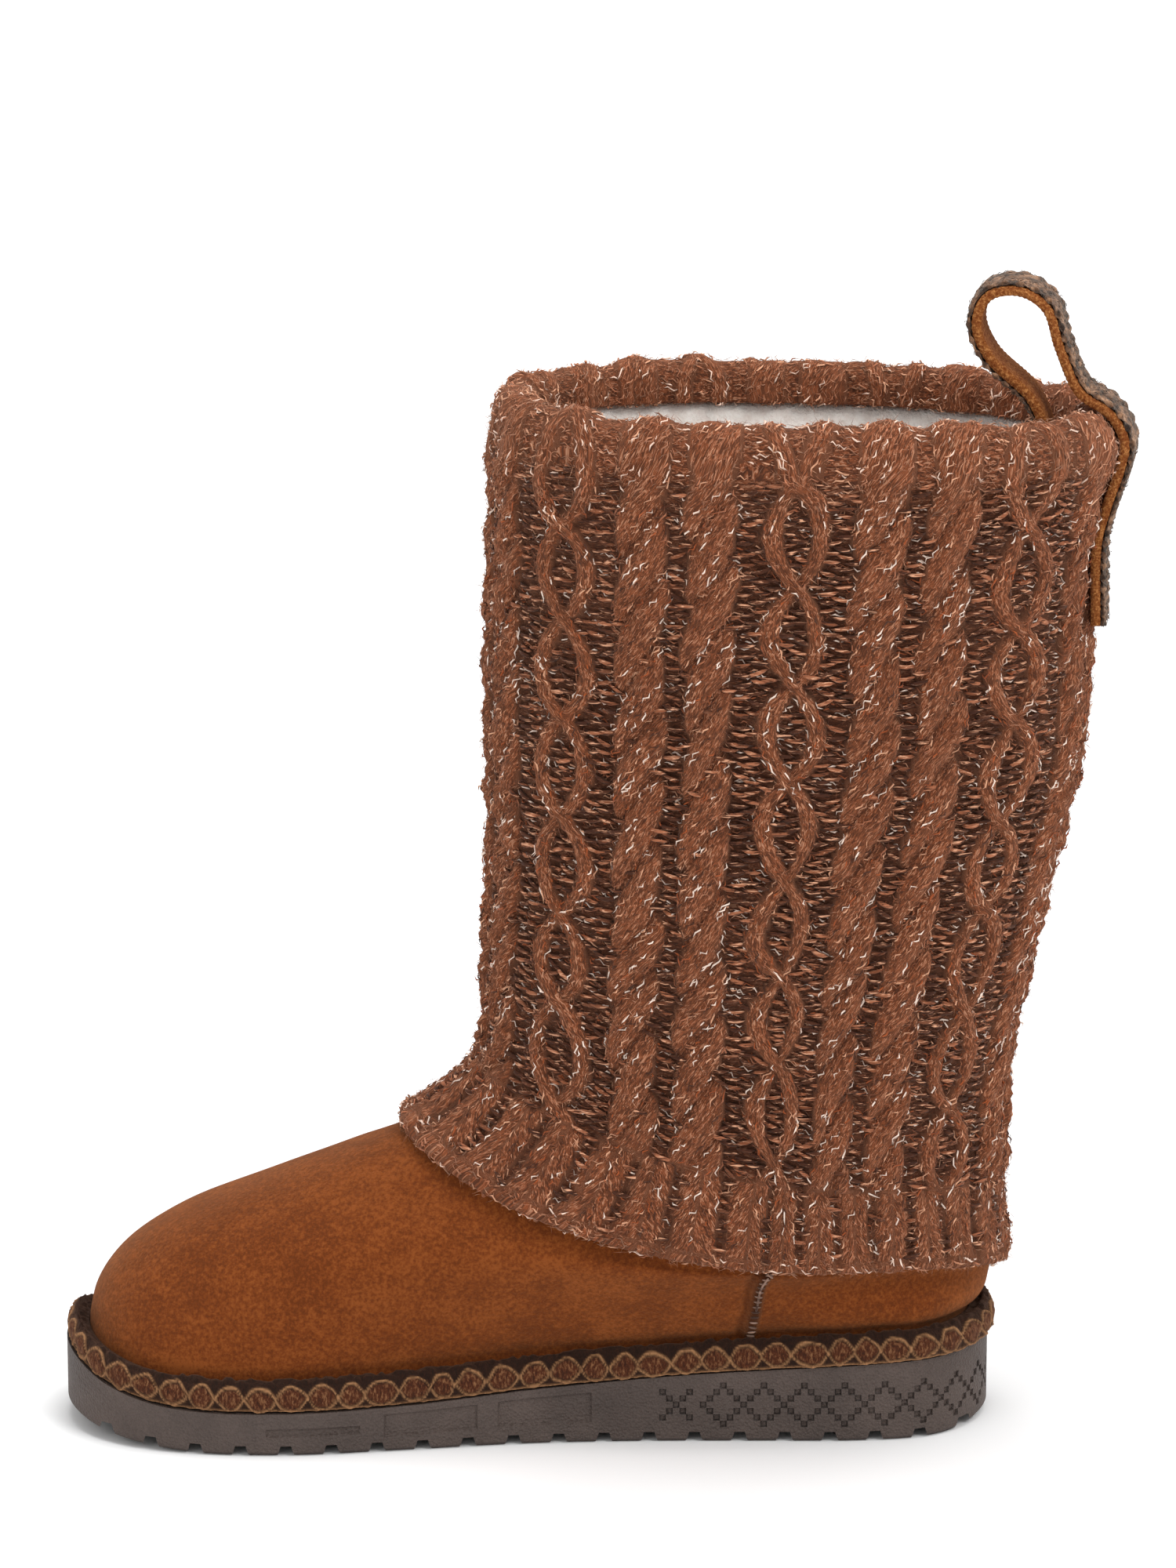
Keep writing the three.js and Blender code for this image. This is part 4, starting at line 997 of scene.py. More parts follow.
def make_knit(settings):
    """The cable-knit sleeve, its purl stitches and the brushed fibres on it."""
    grid, fields = knit_grid(476, 164)
    cloth = ring_piece("knit_cloth", grid, fields, knit_finish(settings))
    bent, wavy = fibre_shape((1.6,)), fibre_shape((1.1, -1.1))
    group = scatter_group()
    keys = ("Fibre", "Material", "Where", "Density", "Shortest", "Longest", "Thickness", "Disorder",
            "Swirl", "Lift")
    nap = fibre_finish("yarn nap", nap_stops(settings), settings)
    strands = fibre_finish("yarn strands", yarn_stops(settings), settings)
    layers = (("knit_nap", (bent, nap, "raised", 1.06, 0.0014, 0.0036, 0.00022, 0.9, 3.4, 0.0003)),
              ("knit_strands", (wavy, strands, "sunk", 0.6, 0.0026, 0.0054, 0.00056, 0.3, 1.3, 0.0003)),
              ("knit_haze", (bent, nap, "raised", 0.32, 0.0022, 0.0050, 0.00015, 1.2, 2.0, 0.0012)))
    for seed, (name, values) in enumerate(layers):
        given = dict(zip(keys, values), Seed=seed + 1)
        given["Density"] *= settings.fibre_density
        finish_piece(bake_group(name, cloth, group, given), "knit", "knit_sleeve")
    drop(bent, wavy)
    make_purl(settings)
    finish_piece(cloth, "knit", "knit_sleeve")
    return cloth


# Suede foot and lining

# Soft troughs and ridges of the vamp and the quarter: where they lie, how long and how wide in
# millimetres, how they are turned in degrees and how far they go in (or out, if below 0)
CREASES = (
    {"turn": 0.70, "place": 6.6, "long": 46, "wide": 9, "tilt": 20, "depth": 0.9},
    {"turn": 0.76, "place": 7.2, "long": 52, "wide": 8, "tilt": 12, "depth": -0.6},
    {"turn": 0.62, "place": 5.2, "long": 60, "wide": 12, "tilt": -8, "depth": 0.6},
    {"turn": 0.52, "place": 4.0, "long": 40, "wide": 10, "tilt": 30, "depth": 0.5},
    {"turn": 0.86, "place": 6.0, "long": 50, "wide": 12, "tilt": 0, "depth": 0.4},
    {"turn": 0.25, "place": 5.6, "long": 40, "wide": 9, "tilt": 6, "depth": 0.6},
    {"turn": 0.12, "place": 4.5, "long": 34, "wide": 8, "tilt": -4, "depth": 0.5},
)


def crease_depth(points):
    """How far the creases take each point in, in metres, on both sides of the boot."""
    depth = np.zeros(points.shape[:-1])
    for crease in CREASES:
        for side in (1, -1):
            turn = side * crease["turn"] * math.pi
            middle = upper_point(turn, crease["place"])
            around = unit(upper_point(turn + side * 0.03, crease["place"]) - middle)
            up = unit(upper_point(turn, crease["place"] + 0.2) - middle)
            tilt = math.radians(crease["tilt"])
            way = around * math.cos(tilt) + up * math.sin(tilt)
            cross = np.cross(way, np.cross(around, up))
            along = (points - middle) @ way / (crease["long"] * MM)
            across = (points - middle) @ cross / (crease["wide"] * MM)
            depth += crease["depth"] * MM * np.exp(-(along * 2) ** 2 - across ** 2)
    return depth


def seam_distance(turn, place):
    """How far each point lies ahead of the side seam on its side of the boot, in mm."""
    turn, place = np.broadcast_arrays(np.mod(turn, 2 * math.pi), place)
    seam = np.where(turn <= math.pi, SEAM_TURNS["inner"], SEAM_TURNS["outer"])
    away = np.linalg.norm(upper_point(turn, place) - upper_point(seam, place), axis=-1) / MM
    return np.where(half_turn(turn) > SEAM_TURN, away, -away)


def seam_shown(place):
    """1 where the side seams show, between the rand and the hem."""
    return (1 - smoothstep(HEM_RING - 0.2, HEM_RING + 0.4, place)) * smoothstep(0.9, 1.7, place)


def seam_raise(turn, place):
    """The raised side seam, below the hem, with the little valley ahead of it."""
    off = seam_distance(turn, place)
    ridge = 1.1 * np.exp(-(off / 1.7) ** 4)
    return seam_shown(place) * MM * (ridge - 0.7 * np.exp(-((off - 3.4) / 1.3) ** 2))


def seam_shade(turn, place):
    """How dark the suede is painted along the seam: darker on its raised ridge, and painted shadow in the
    valley ahead of it.
    """
    off = seam_distance(turn, place)
    ridge = np.exp(-(off / 1.7) ** 4)
    return seam_shown(place) * np.clip(ridge + 0.6 * np.exp(-((off - 2.8) / 1.0) ** 2), 0, 1)


def with_seams(turns):
    """Adds close turns at both side seams."""
    seams = SEAM_TURNS.values()
    extra = np.concatenate([seam + np.linspace(-0.06, 0.06, 33) for seam in seams])
    clear = [turn for turn in turns if all(abs(turn - seam) > 0.063 for seam in seams)]
    return np.sort(np.concatenate([clear, extra]))


def make_upper(settings):
    """The suede foot and its plain shaft under the knit, one wall open at the collar and below."""
    turns = with_seams(np.arange(240) * 2 * math.pi / 240)
    low = even_places(0.0, HEM_RING + 0.6, 62, turns)
    high = np.linspace(HEM_RING + 1, COLLAR_RING, 12)
    places = np.concatenate([low, high])
    base = wall_point(turns[:, None], places[None, :], 0.0)
    shown = 1 - smoothstep(HEM_RING, HEM_RING + 0.5, places)[None, :]
    soft = ripple(base[..., 0] / MM, base[..., 2] / MM + base[..., 1] / MM, 5) * 0.25 * MM
    lift = seam_raise(turns[:, None], places[None, :]) - crease_depth(base) * shown + soft * shown
    lift = lift * smoothstep(0.6, 1.5, places)[None, :]
    outside = wall_point(turns[:, None], places[None, :], lift)
    inside = np.stack([wall_point(turns, place, -WALL) for place in HIDDEN_PLACES + (6, 4.5, 3, 1.5, 0)], 1)
    rim = collar_point(turns, -WALL, 0.0)[:, None]
    grid = np.concatenate([outside, rim, inside], 1)
    dark = np.zeros(grid.shape[:2])
    # Painted shadow ahead of the side seams, and their ridges painted dark
    dark[:, :len(places)] = seam_shade(turns[:, None], places[None, :])
    piece = ring_piece("suede_upper", grid, {"seam": dark}, suede_finish(settings))
    return finish_piece(piece, "suede", "upper")


def make_lining(fleece):
    """The fleece that lines the shaft and the foot."""
    columns, rows = 240, 80
    turns = np.arange(columns) * 2 * math.pi / columns
    top = COLLAR_RING - (KNIT_TURN_IN - 0.002) / TOP_SPACING
    places = np.concatenate([np.linspace(top, 8, 46), np.linspace(7.8, 0.35, rows - 46)])
    lumps = random_field((columns, rows), 7, (4, 2)) * 1.8 + random_field((columns, rows), 8, (9, 5)) * 1.8
    row = np.arange(rows)
    full = smoothstep(0, 3, row) * smoothstep(0, 4, rows - 1 - row)
    crown = 2.6 * np.exp(-((row - 5) / 5) ** 2)
    pile = (0.6 + (2.2 + lumps + crown) * full[None, :]) * MM
    face = wall_point(turns[:, None], places[None, :], -WALL - FOLD_GAP * 0.6 - pile)
    back = wall_point(turns[:, None], places[::-1][None, ::4], -WALL - GAP * 0.6)
    lining = ring_piece("fleece_lining", np.concatenate([face, back], 1), None, fleece)
    return finish_piece(lining, "lining")


def make_insole(fleece):
    """The fleece insole, domed at its edge, whose rows close in on the foot's middle line."""
    columns, rows = 180, 26
    turns = np.arange(columns) * 2 * math.pi / columns
    edge = inset_point(turns, FEATHER_INSET + WALL + 2 * GAP)
    spine = np.column_stack([edge[:, 0], (edge[:, 1] + np.roll(edge[::-1, 1], 1)) / 2])
    lumps = random_field((columns, rows), 9, (4, 3))
    top = []
    for i, share in enumerate(np.linspace(0, 1, rows)):
        plan = mix(edge, spine, share)
        dome = math.sin(min(1, share * 7) * math.pi / 2)
        lift = SEAT_GAP + INSOLE_THICKNESS * (0.45 + 0.55 * dome) + (lumps[:, i] - 0.5) * 1.2 * MM * dome
        lift = np.where(share == 1, SEAT_GAP + INSOLE_THICKNESS, lift)
        top.append(np.column_stack([plan, seat_height(plan[:, 0]) + lift]))
    under = [np.column_stack([plan, seat_height(plan[:, 0]) + SEAT_GAP]) for plan in (spine, edge)]
    insole = ring_piece("fleece_insole", np.stack(under + top, 1), None, fleece)
    work = bmesh.new()
    work.from_mesh(insole.data)
    bmesh.ops.remove_doubles(work, verts=work.verts, dist=1e-6)
    bmesh.ops.dissolve_degenerate(work, edges=work.edges, dist=1e-7)
    work.to_mesh(insole.data)
    work.free()
    return finish_piece(insole, "lining", "insole")


# Side seams

STITCH_SPACING = 0.0019
STITCH_LIFT = 0.0010


def seam_line(side):
    """Evenly spaced points up one side seam, with the ways out, round and up."""
    fine = np.linspace(1.15, HEM_RING - 0.35, 200)
    lengths = walked(wall_point(np.full(200, SEAM_TURNS[side]), fine, STITCH_LIFT + 0.0001))
    places = np.interp(np.arange(0, lengths[-1], STITCH_SPACING), lengths, fine)
    turns = np.full(len(places), SEAM_TURNS[side])
    point = wall_point(turns, places, STITCH_LIFT)
    out = unit(wall_point(turns, places, STITCH_LIFT + 0.003) - point)
    around = unit(upper_point(turns + 0.01, places) - upper_point(turns - 0.01, places))
    up = unit(wall_point(turns, places + 0.05, STITCH_LIFT) - point)
    return point, out, around, up


def row_base(name, points, ways, facings, sizes):
    """Bare points that carry the way, facing and size of what is set on them."""
    fields = {"way": ways, "facing": facings, "size": sizes}
    return mesh_from(name, points, [], fields)


def make_stitches(settings):
    """Cross stitches and the chain line along both side seams."""
    group = row_group()
    bit = yarn_bit(5, 6, 0.22)
    finish = thread_finish(settings)
    for side in SEAM_TURNS:
        point, out, around, up = seam_line(side)
        count = len(point)
        wobble = np.random.default_rng(21).normal(0, 0.10, (count, 1))
        ways = unit(around + up * (0.12 + wobble))
        sizes = np.tile([0.0026, 0.0006, 0.0007], (count, 1))
        half = count // 2
        chain = np.repeat(np.arange(half, count), 2)
        shift = np.tile([[-0.25], [0.25]], (count - half, 1)) * STITCH_SPACING
        chain_points = point[chain] + up[chain] * shift + out[chain] * 0.0004
        chain_sizes = np.tile([0.0017, 0.0007, 0.0006], (len(chain), 1))
        base = row_base("seam " + side, np.concatenate([point, chain_points]),
                        np.concatenate([ways, up[chain]]), np.concatenate([out, out[chain]]),
                        np.concatenate([sizes, chain_sizes]))
        values = {"Thing": bit, "Seed": 4, "Material": finish}
        piece = bake_group(f"seam_stitches_{side}", base, group, values)
        drop(base)
        finish_piece(piece, "suede")
    drop(bit)


# Rand

RAND_OVALS = 72
RAND_PROFILE = ((0.2, 0.18), (0, 0.5), (0.5, 0.8), (2.0, 0.97), (3.6, 1.0))
RAND_FOOT = 1.0


def rand_points(turns):
    """The rand's section at each turn: from its foot at the wall, out and over to its top."""
    ring = {key: values[0] for key, values in RINGS.items()}
    around = turn_on_ring(turns, ring)
    overhang = mix(RAND_OVERHANG_HEEL, RAND_OVERHANG_TOE, (1 - np.cos(around)) / 2)

    def outer(inset, height):
        plan = inset_point(around, inset * MM - overhang)
        return np.column_stack([plan, seat_height(plan[:, 0]) + height])

    rows = [wall_point(turns, 0, GAP), outer(RAND_FOOT, SEAT_GAP)]
    rows += [outer(inset, rise * RAND_HEIGHT) for inset, rise in RAND_PROFILE]
    return np.stack(rows + [wall_point(turns, 1, GAP)], 1)


def rand_sheet(columns, rows):
    """The rand's outer face before it is woven: turns, points and the way out of it."""
    fine = np.linspace(0, 2 * math.pi, 2881)
    lengths = walked(rand_points(fine)[:, 3])
    turns = np.interp(np.arange(columns) * lengths[-1] / columns, lengths, fine)
    rough = rand_points(turns)
    share = np.linspace(0, rough.shape[1] - 2, rows)
    keys = np.arange(rough.shape[1] - 1)
    sheet = np.stack([np.stack([np.interp(share, keys, rough[i, 1:, k]) for k in range(3)], -1)
                      for i in range(columns)])
    for _ in range(2):
        sheet[:, 1:-1] = (sheet[:, :-2] + 2 * sheet[:, 1:-1] + sheet[:, 2:]) / 4
    around = unit(np.roll(sheet, -1, 0) - np.roll(sheet, 1, 0))
    out = unit(np.cross(around, unit(np.gradient(sheet, axis=1))))
    inwards = (out[..., :2] * (sheet[..., :2] - sheet[..., :2].mean(0))).sum(-1) < 0
    return turns, sheet, out * np.where(inwards, -1, 1)[..., None]


def make_rand(settings):
    """The woven rand: a row of ovals outlined by crossing yarns, under a dark strip."""
    columns, rows = 1296, 26
    turns, sheet, out = rand_sheet(columns, rows)
    rise = np.linspace(0, 1, rows)[None, :]
    cell = np.arange(columns)[:, None] * RAND_OVALS / columns
    cell = cell + (random_field((columns, 4), 17, (18, 2))[:, :1] - 0.5) * 0.3
    u = (np.mod(cell, 1) - 0.5) * 2
    wobble = 0.12 * ripple(cell * 5, rise * 3, 4)
    v = (rise - 0.34 + 0.25 * wobble) / 0.225
    arch = np.cos(math.pi * np.clip(u, -1, 1) / 2) ** 0.92
    off = np.abs(v) - arch + (random_field((columns, rows), 19, (5, 4)) - 0.5) * 0.4
    oval = 1 - smoothstep(-0.34, -0.16, off)
    yarn = np.exp(-(off / (0.12 + 0.2 * wobble)) ** 2)
    strip = smoothstep(0.58, 0.64, rise + 0.06 * wobble)
    foot_line = np.exp(-((rise - 0.06) / 0.05) ** 2)
    weave = 0.5 + 0.5 * np.sin(u * 15) * np.sin(v * 10)
    lumps = random_field((columns, rows), 12, (3, 2))
    lift = 0.55 * oval * (0.75 + 0.25 * weave) + 0.65 * yarn + 0.9 * strip * lumps + 0.5 * lumps
    lift += 0.35 * foot_line
    ends = smoothstep(0, 0.08, rise) * smoothstep(0, 0.06, 1 - rise)
    outside = sheet + out * (lift * ends * MM)[..., None]
    grid = np.concatenate([outside, wall_point(turns, 0, GAP)[:, None]], 1)
    fields = {"oval": oval * (1 - strip), "yarn": np.clip(yarn + foot_line, 0, 1) * (1 - strip),
              "strip": strip}
    fields = {key: np.pad(values, ((0, 0), (0, 1))) for key, values in fields.items()}
    piece = ring_piece("rand_braid", grid, fields, rand_finish(settings))
    return finish_piece(piece, "rand", "rand")


# Outsole

# The moulded pattern of the heel's side: square pockets on a grid of cells, counted from its middle row
CELL = 0.0976 / 50
PATTERN_MIDDLE = 0.0112
PATTERN_ROWS = 7
HALF_ROWS = PATTERN_ROWS // 2
# Where the pattern's rows start over the tread and how high they reach, as shares of the local thickness
PATTERN_FOOT = 0.23
PATTERN_REACH = 0.72
PATTERN_TOP_SHARE = 0.955
POCKET_DEPTH = 0.0007
POCKET_RIM = 0.00036
PANEL_RIM = 0.0005
DIAMOND_PITCH = 6
FIRST_DIAMOND = 50
CROSS_CELLS = ((-7, 0), (-8, 1), (-8, -1), (-6, 1), (-6, -1), (-9, 2), (-9, -2), (-5, 2), (-5, -2))
# Columns of the outsole's inner side, half a cell apart, and its first wall row in the pattern
HALF_COLUMNS = 320
FIRST_PATTERN_ROW = 2


def pocket_cells():
    """Cells of the pattern, as (distance from the heel end in cells, row), on both sides of the heel."""
    cells = set()
    diamonds = FIRST_DIAMOND // DIAMOND_PITCH * 2
    for k in range(diamonds + 1):
        middle = FIRST_DIAMOND - k * DIAMOND_PITCH
        for row in range(-HALF_ROWS, HALF_ROWS + 1):
            for away in (abs(row) - HALF_ROWS, HALF_ROWS - abs(row)):
                cells.add((middle + away, row))
    last = FIRST_DIAMOND - diamonds * DIAMOND_PITCH
    for away, row in CROSS_CELLS:
        cells.add((FIRST_DIAMOND - away, row))
        cells.add((last + away, row))
    return cells


def outsole_turns(half_count):
    """Turns of the outsole's columns, half a cell apart on the inner side, and as many on the outer."""
    fine = np.linspace(0, math.pi, 2881)
    inner = walked(outline_point(fine))
    outer = walked(outline_point(2 * math.pi - fine))
    share = np.arange(half_count + 1) / half_count
    first = np.interp(share * inner[-1], inner, fine)
    second = 2 * math.pi - np.interp(share * outer[-1], outer, fine)
    return np.concatenate([first, second[::-1][1:-1]])


def outsole_levels(turns):
    """Points of the side wall, from the tread's chamfer to the seat, with lines at the pattern's rows."""
    plan, chamfer = inset_point(turns, 0.0), inset_point(turns, TREAD_EDGE)
    seat = seat_height(plan[:, 0])
    rows = PATTERN_MIDDLE + CELL * (np.arange(PATTERN_ROWS + 1) - PATTERN_ROWS / 2)
    squeeze = np.minimum(1, seat * PATTERN_TOP_SHARE / rows[-1])
    heights = [tread_height(plan[:, 0]) + TREAD_EDGE] + [row * squeeze for row in rows]
    heights[1] = np.maximum(heights[1], heights[0] + 0.0004)
    heights += [mix(rows[-1] * squeeze, seat, 0.6), seat]
    levels = [np.column_stack([chamfer, tread_height(chamfer[:, 0])])]
    levels += [np.column_stack([plan, height]) for height in heights]
    return np.stack(levels, 1)


def cap_faces(count, level, n_levels):
    """Faces right across the plate, from one side's columns to the other's."""
    around = [i * n_levels + level for i in range(count)]
    half = count // 2
    faces = [(around[0], around[1], around[-1])]
    faces += [(around[i], around[i + 1], around[-i - 1], around[-i]) for i in range(1, half - 1)]
    return faces + [(around[half - 1], around[half], around[half + 1])]



def groove_cuts():
    """The bars that cut the grooves across the tread."""
    points, faces = [], []
    reach, overrun = BALL_INNER + BALL_OUTER, 0.002
    spread = (GROOVE_MOUTH - GROOVE_FLOOR) / 2 * (1 + overrun / GROOVE_DEPTH)
    for i in range(int((LENGTH - FIRST_GROOVE) / LUG_PITCH)):
        x = HEEL_END - FIRST_GROOVE - LUG_PITCH * i
        z = tread_height(x)
        section = ((-GROOVE_FLOOR / 2, GROOVE_DEPTH), (-GROOVE_FLOOR / 2 - spread, -overrun),
                   (GROOVE_FLOOR / 2 + spread, -overrun), (GROOVE_FLOOR / 2, GROOVE_DEPTH))
        start = len(points)
        points += [(x + a, y, z + b) for y in (-reach, reach) for a, b in section]
        faces += [tuple(start + k for k in face) for face in
                  ((0, 1, 2, 3), (7, 6, 5, 4), (0, 4, 5, 1), (1, 5, 6, 2), (2, 6, 7, 3), (3, 7, 4, 0))]
    return face_outwards(mesh_from("groove cuts", np.array(points), faces, smooth=False))


def mould_side(piece, levels):
    """Sinks the pattern's pockets and the panels into the side of the plain outsole, and gives the pockets'
    walls the painted shade.
    """
    count, n_levels = levels.shape[:2]
    work = bmesh.new()
    work.from_mesh(piece.data)
    work.faces.ensure_lookup_table()

    def wall_face(column, row):
        return work.faces[(column % count) * (n_levels - 1) + FIRST_PATTERN_ROW + row]

    pockets = [[wall_face(2 * cell - 1, row + HALF_ROWS), wall_face(2 * cell, row + HALF_ROWS)]
               for cell, row in sorted(pocket_cells())]
    panels = []
    from_heel = (HEEL_END - levels[:, 5, 0]) / LENGTH
    for panel in PANELS:
        low, high = (round(PATTERN_ROWS * (panel[edge] - PATTERN_FOOT) / PATTERN_REACH)
                     for edge in ("low", "high"))
        for side in (range(1, HALF_COLUMNS - 1), range(HALF_COLUMNS + 1, count - 1)):
            columns = [column for column in side if panel["start"] < from_heel[column] < panel["end"]]
            panels.append([wall_face(column, row) for column in columns for row in range(low, high)])
    for pocket in pockets:
        walls = bmesh.ops.inset_region(work, faces=pocket, thickness=POCKET_RIM, depth=-POCKET_DEPTH,
                                       use_even_offset=True)["faces"]
        # The pockets' walls take the second material, the painted shade
        for face in walls:
            face.material_index = 1
    for panel in panels:
        bmesh.ops.inset_region(work, faces=panel, thickness=PANEL_RIM, depth=-PANEL_DEPTH,
                               use_even_offset=True)
    work.to_mesh(piece.data)
    work.free()


def make_outsole(settings):
    """The moulded sole: grooved tread, sunk panels at the sides and the pattern round the heel."""
    levels = outsole_levels(outsole_turns(HALF_COLUMNS))
    count, n_levels = levels.shape[:2]
    faces = grid_faces(count, n_levels, True, False).tolist()
    faces += cap_faces(count, 0, n_levels) + cap_faces(count, n_levels - 1, n_levels)
    piece = face_outwards(mesh_from("outsole_moulded", levels, faces, smooth=False))
    mould_side(piece, levels)
    plain = rubber_finish("foamed rubber", settings.rubber_dark_and_shade, settings.rubber)
    # A darker copy of the rubber: painted shade on the pockets' walls
    shaded = rubber_finish("foamed rubber, shaded", settings.rubber_pocket_shade, settings.rubber_dark_and_shade)
    piece.data.materials.append(plain)
    piece.data.materials.append(shaded)

    cuts = groove_cuts()
    modifier = piece.modifiers.new("grooves", "BOOLEAN")
    modifier.operation, modifier.solver, modifier.object = "DIFFERENCE", "EXACT", cuts
    deps = bpy.context.evaluated_depsgraph_get()
    deps.update()
    mesh = bpy.data.meshes.new_from_object(piece.evaluated_get(deps), depsgraph=deps)
    piece.modifiers.clear()
    piece.data = mesh
    drop(cuts)
    return finish_piece(piece, "outsole", "outsole")


# Pull loop

STRAP_WIDTH = 0.018
TAPE_THICKNESS = 0.0028
BRAID_THICKNESS = 0.0010
LOOP_HEIGHT = 0.0342
LOOP_REACH = 0.0313
STRAP_TAIL = 0.060
STRAP_TUCK = 0.024
STRAP_STANDOFF = 0.0008
STRAP_BEDDING = 0.0036
STRAP_YAW = 0.14
STRAP_SIDE = -0.004
KNIT_AT_STRAP = 0.0051
STRAP_ROWS = 260
STRAP_COLUMNS = 25
# The free part of the loop: shares of LOOP_REACH towards the toe and of LOOP_HEIGHT
LOOP = {
    "reach": (-0.08, -0.205, -0.23, -0.11, 0.17, 0.37, 0.486, 0.7, 0.946, 1.03, 0.917, 0.534),
    "rise": (-0.74, -0.38, -0.2, 0, 0.18, 0.57, 0.88, 1, 0.96, 0.76, 0.51, 0.17),
}


def between(p, q, start, end, t):
    """The point at t on a line that is at p at the start and at q at the end."""
    return p * (end - t) / (end - start) + q * (t - start) / (end - start)


def curve_part(a, b, c, d, count):
    """Points from b to just before c on the smooth curve through four points."""
    sides = ((a, b), (b, c), (c, d))
    knots = np.cumsum([0] + [max(np.linalg.norm(q - p) ** 0.5, 1e-6) for p, q in sides])
    line = []
    for t in np.linspace(knots[1], knots[2], count, endpoint=False):
        ab, bc, cd = (between(*side, *knots[i:i + 2], t) for i, side in enumerate(sides))
        abc = between(ab, bc, knots[0], knots[2], t)
        bcd = between(bc, cd, knots[1], knots[3], t)
        line.append(between(abc, bcd, knots[1], knots[2], t))
    return line


def strap_path():
    """Evenly spaced points of the loop's inner face seen from the side, from the outer end to the inner
    end, and its length."""
    tail = wall_point(0.0, MID_SHAFT_RING + 1, KNIT_CLEARANCE + KNIT_AT_STRAP)[0] + STRAP_STANDOFF
    inside = collar_point(0.0, -WALL - FOLD_GAP - KNIT_AT_STRAP, 0.0)[0] - STRAP_BEDDING
    top = SHAFT_HEIGHT - COLLAR_DROP + COLLAR_ROLL
    rows = [(tail, top - STRAP_TAIL), (tail, top - STRAP_TAIL * 0.6)]
    rows += [(tail - a * LOOP_REACH, top + b * LOOP_HEIGHT) for a, b in zip(LOOP["reach"], LOOP["rise"])]
    rows += [(inside, top - STRAP_TUCK * 0.25), (inside, top - STRAP_TUCK)]
    rows = np.array(rows)
    rows = np.concatenate([[2 * rows[0] - rows[1]], rows, [2 * rows[-1] - rows[-2]]])
    line = []
    for four in zip(rows, rows[1:], rows[2:], rows[3:]):
        line += curve_part(*four, 24)
    line = np.array(line + [rows[-2]])
    lengths = walked(line)
    even = np.linspace(0, lengths[-1], STRAP_ROWS)
    return np.stack([np.interp(even, lengths, line[:, k]) for k in range(2)], -1), lengths[-1]


def strap_grid(near, far, shape):
    """A band round the loop's path between two distances, its faces moved by a shape function."""
    path, length = strap_path()
    tangent = unit(np.gradient(path, axis=0))
    normal = np.stack([tangent[:, 1], -tangent[:, 0]], -1)
    across = np.linspace(-1, 1, STRAP_COLUMNS)
    s = np.linspace(0, length, STRAP_ROWS)[:, None] / MM
    outer_lift, edge = shape(s, across[None, :])
    inner_lift, _ = shape(s + 3.1, -across[None, :])
    sides = []
    for lifted, line in ((far + outer_lift, across), (near - inner_lift[:, ::-1], across[::-1])):
        x = path[:, 0, None] + normal[:, 0, None] * lifted
        z = path[:, 1, None] + normal[:, 1, None] * lifted
        y = line[None, :] * STRAP_WIDTH / 2 * np.ones_like(x) * edge
        sides.append(np.stack([x, y, z], -1))
    grid = np.concatenate(sides, 1)
    cos, sin = math.cos(STRAP_YAW), math.sin(STRAP_YAW)
    grid[..., 0] -= path[0, 0]
    grid[..., :2] = grid[..., :2] @ np.array([[cos, -sin], [sin, cos]])
    grid[..., 0] += path[0, 0]
    grid[..., 1] += STRAP_SIDE
    return grid


def band_piece(name, grid, material, fields=None):
    """A closed band: a tube of rounded oblong section with its two ends capped."""
    nu, nv = grid.shape[:2]
    faces = grid_faces(nu, nv, False, True).tolist()
    for end in (0, (nu - 1) * nv):
        faces += [(end + j, end + j + 1, end + nv - 2 - j, end + nv - 1 - j) for j in range(nv // 2 - 1)]
    return face_outwards(mesh_from(name, grid, faces, fields, material))


def backing_shape(s, across):
    """Suede tape: soft edges, fine ribs across it and two sewn lines beside each edge."""
    lines = sum(np.exp(-((np.abs(across) - at) / 0.035) ** 2) for at in (0.72, 0.86))
    ribs = 0.12 * np.sin(s * 2 * math.pi / 1.5) * (1 - 0.6 * lines)
    edge = 1 - np.clip((np.abs(across) - 0.9) / 0.1, 0, 1) ** 2 * 0.35
    return (ribs - 0.22 * lines + 0.12 - 0.5 * (1 - edge)) * MM, 1.0


def webbing_shape(s, across):
    """Braided webbing: slanting yarns that meet in the middle, and a scalloped edge."""
    braid = np.sin((s + 5.5 * np.abs(across)) * 2 * math.pi / 3.6)
    edge = 1 - np.clip((np.abs(across) - 0.88) / 0.12, 0, 1) ** 2 * 0.4
    scallop = 1 + 0.022 * np.sin(s * 2 * math.pi / 2.6)
    return (0.35 * braid + 0.25 * np.sin(s * 1.9 + across * 7) - 0.5 * (1 - edge)) * MM, scallop


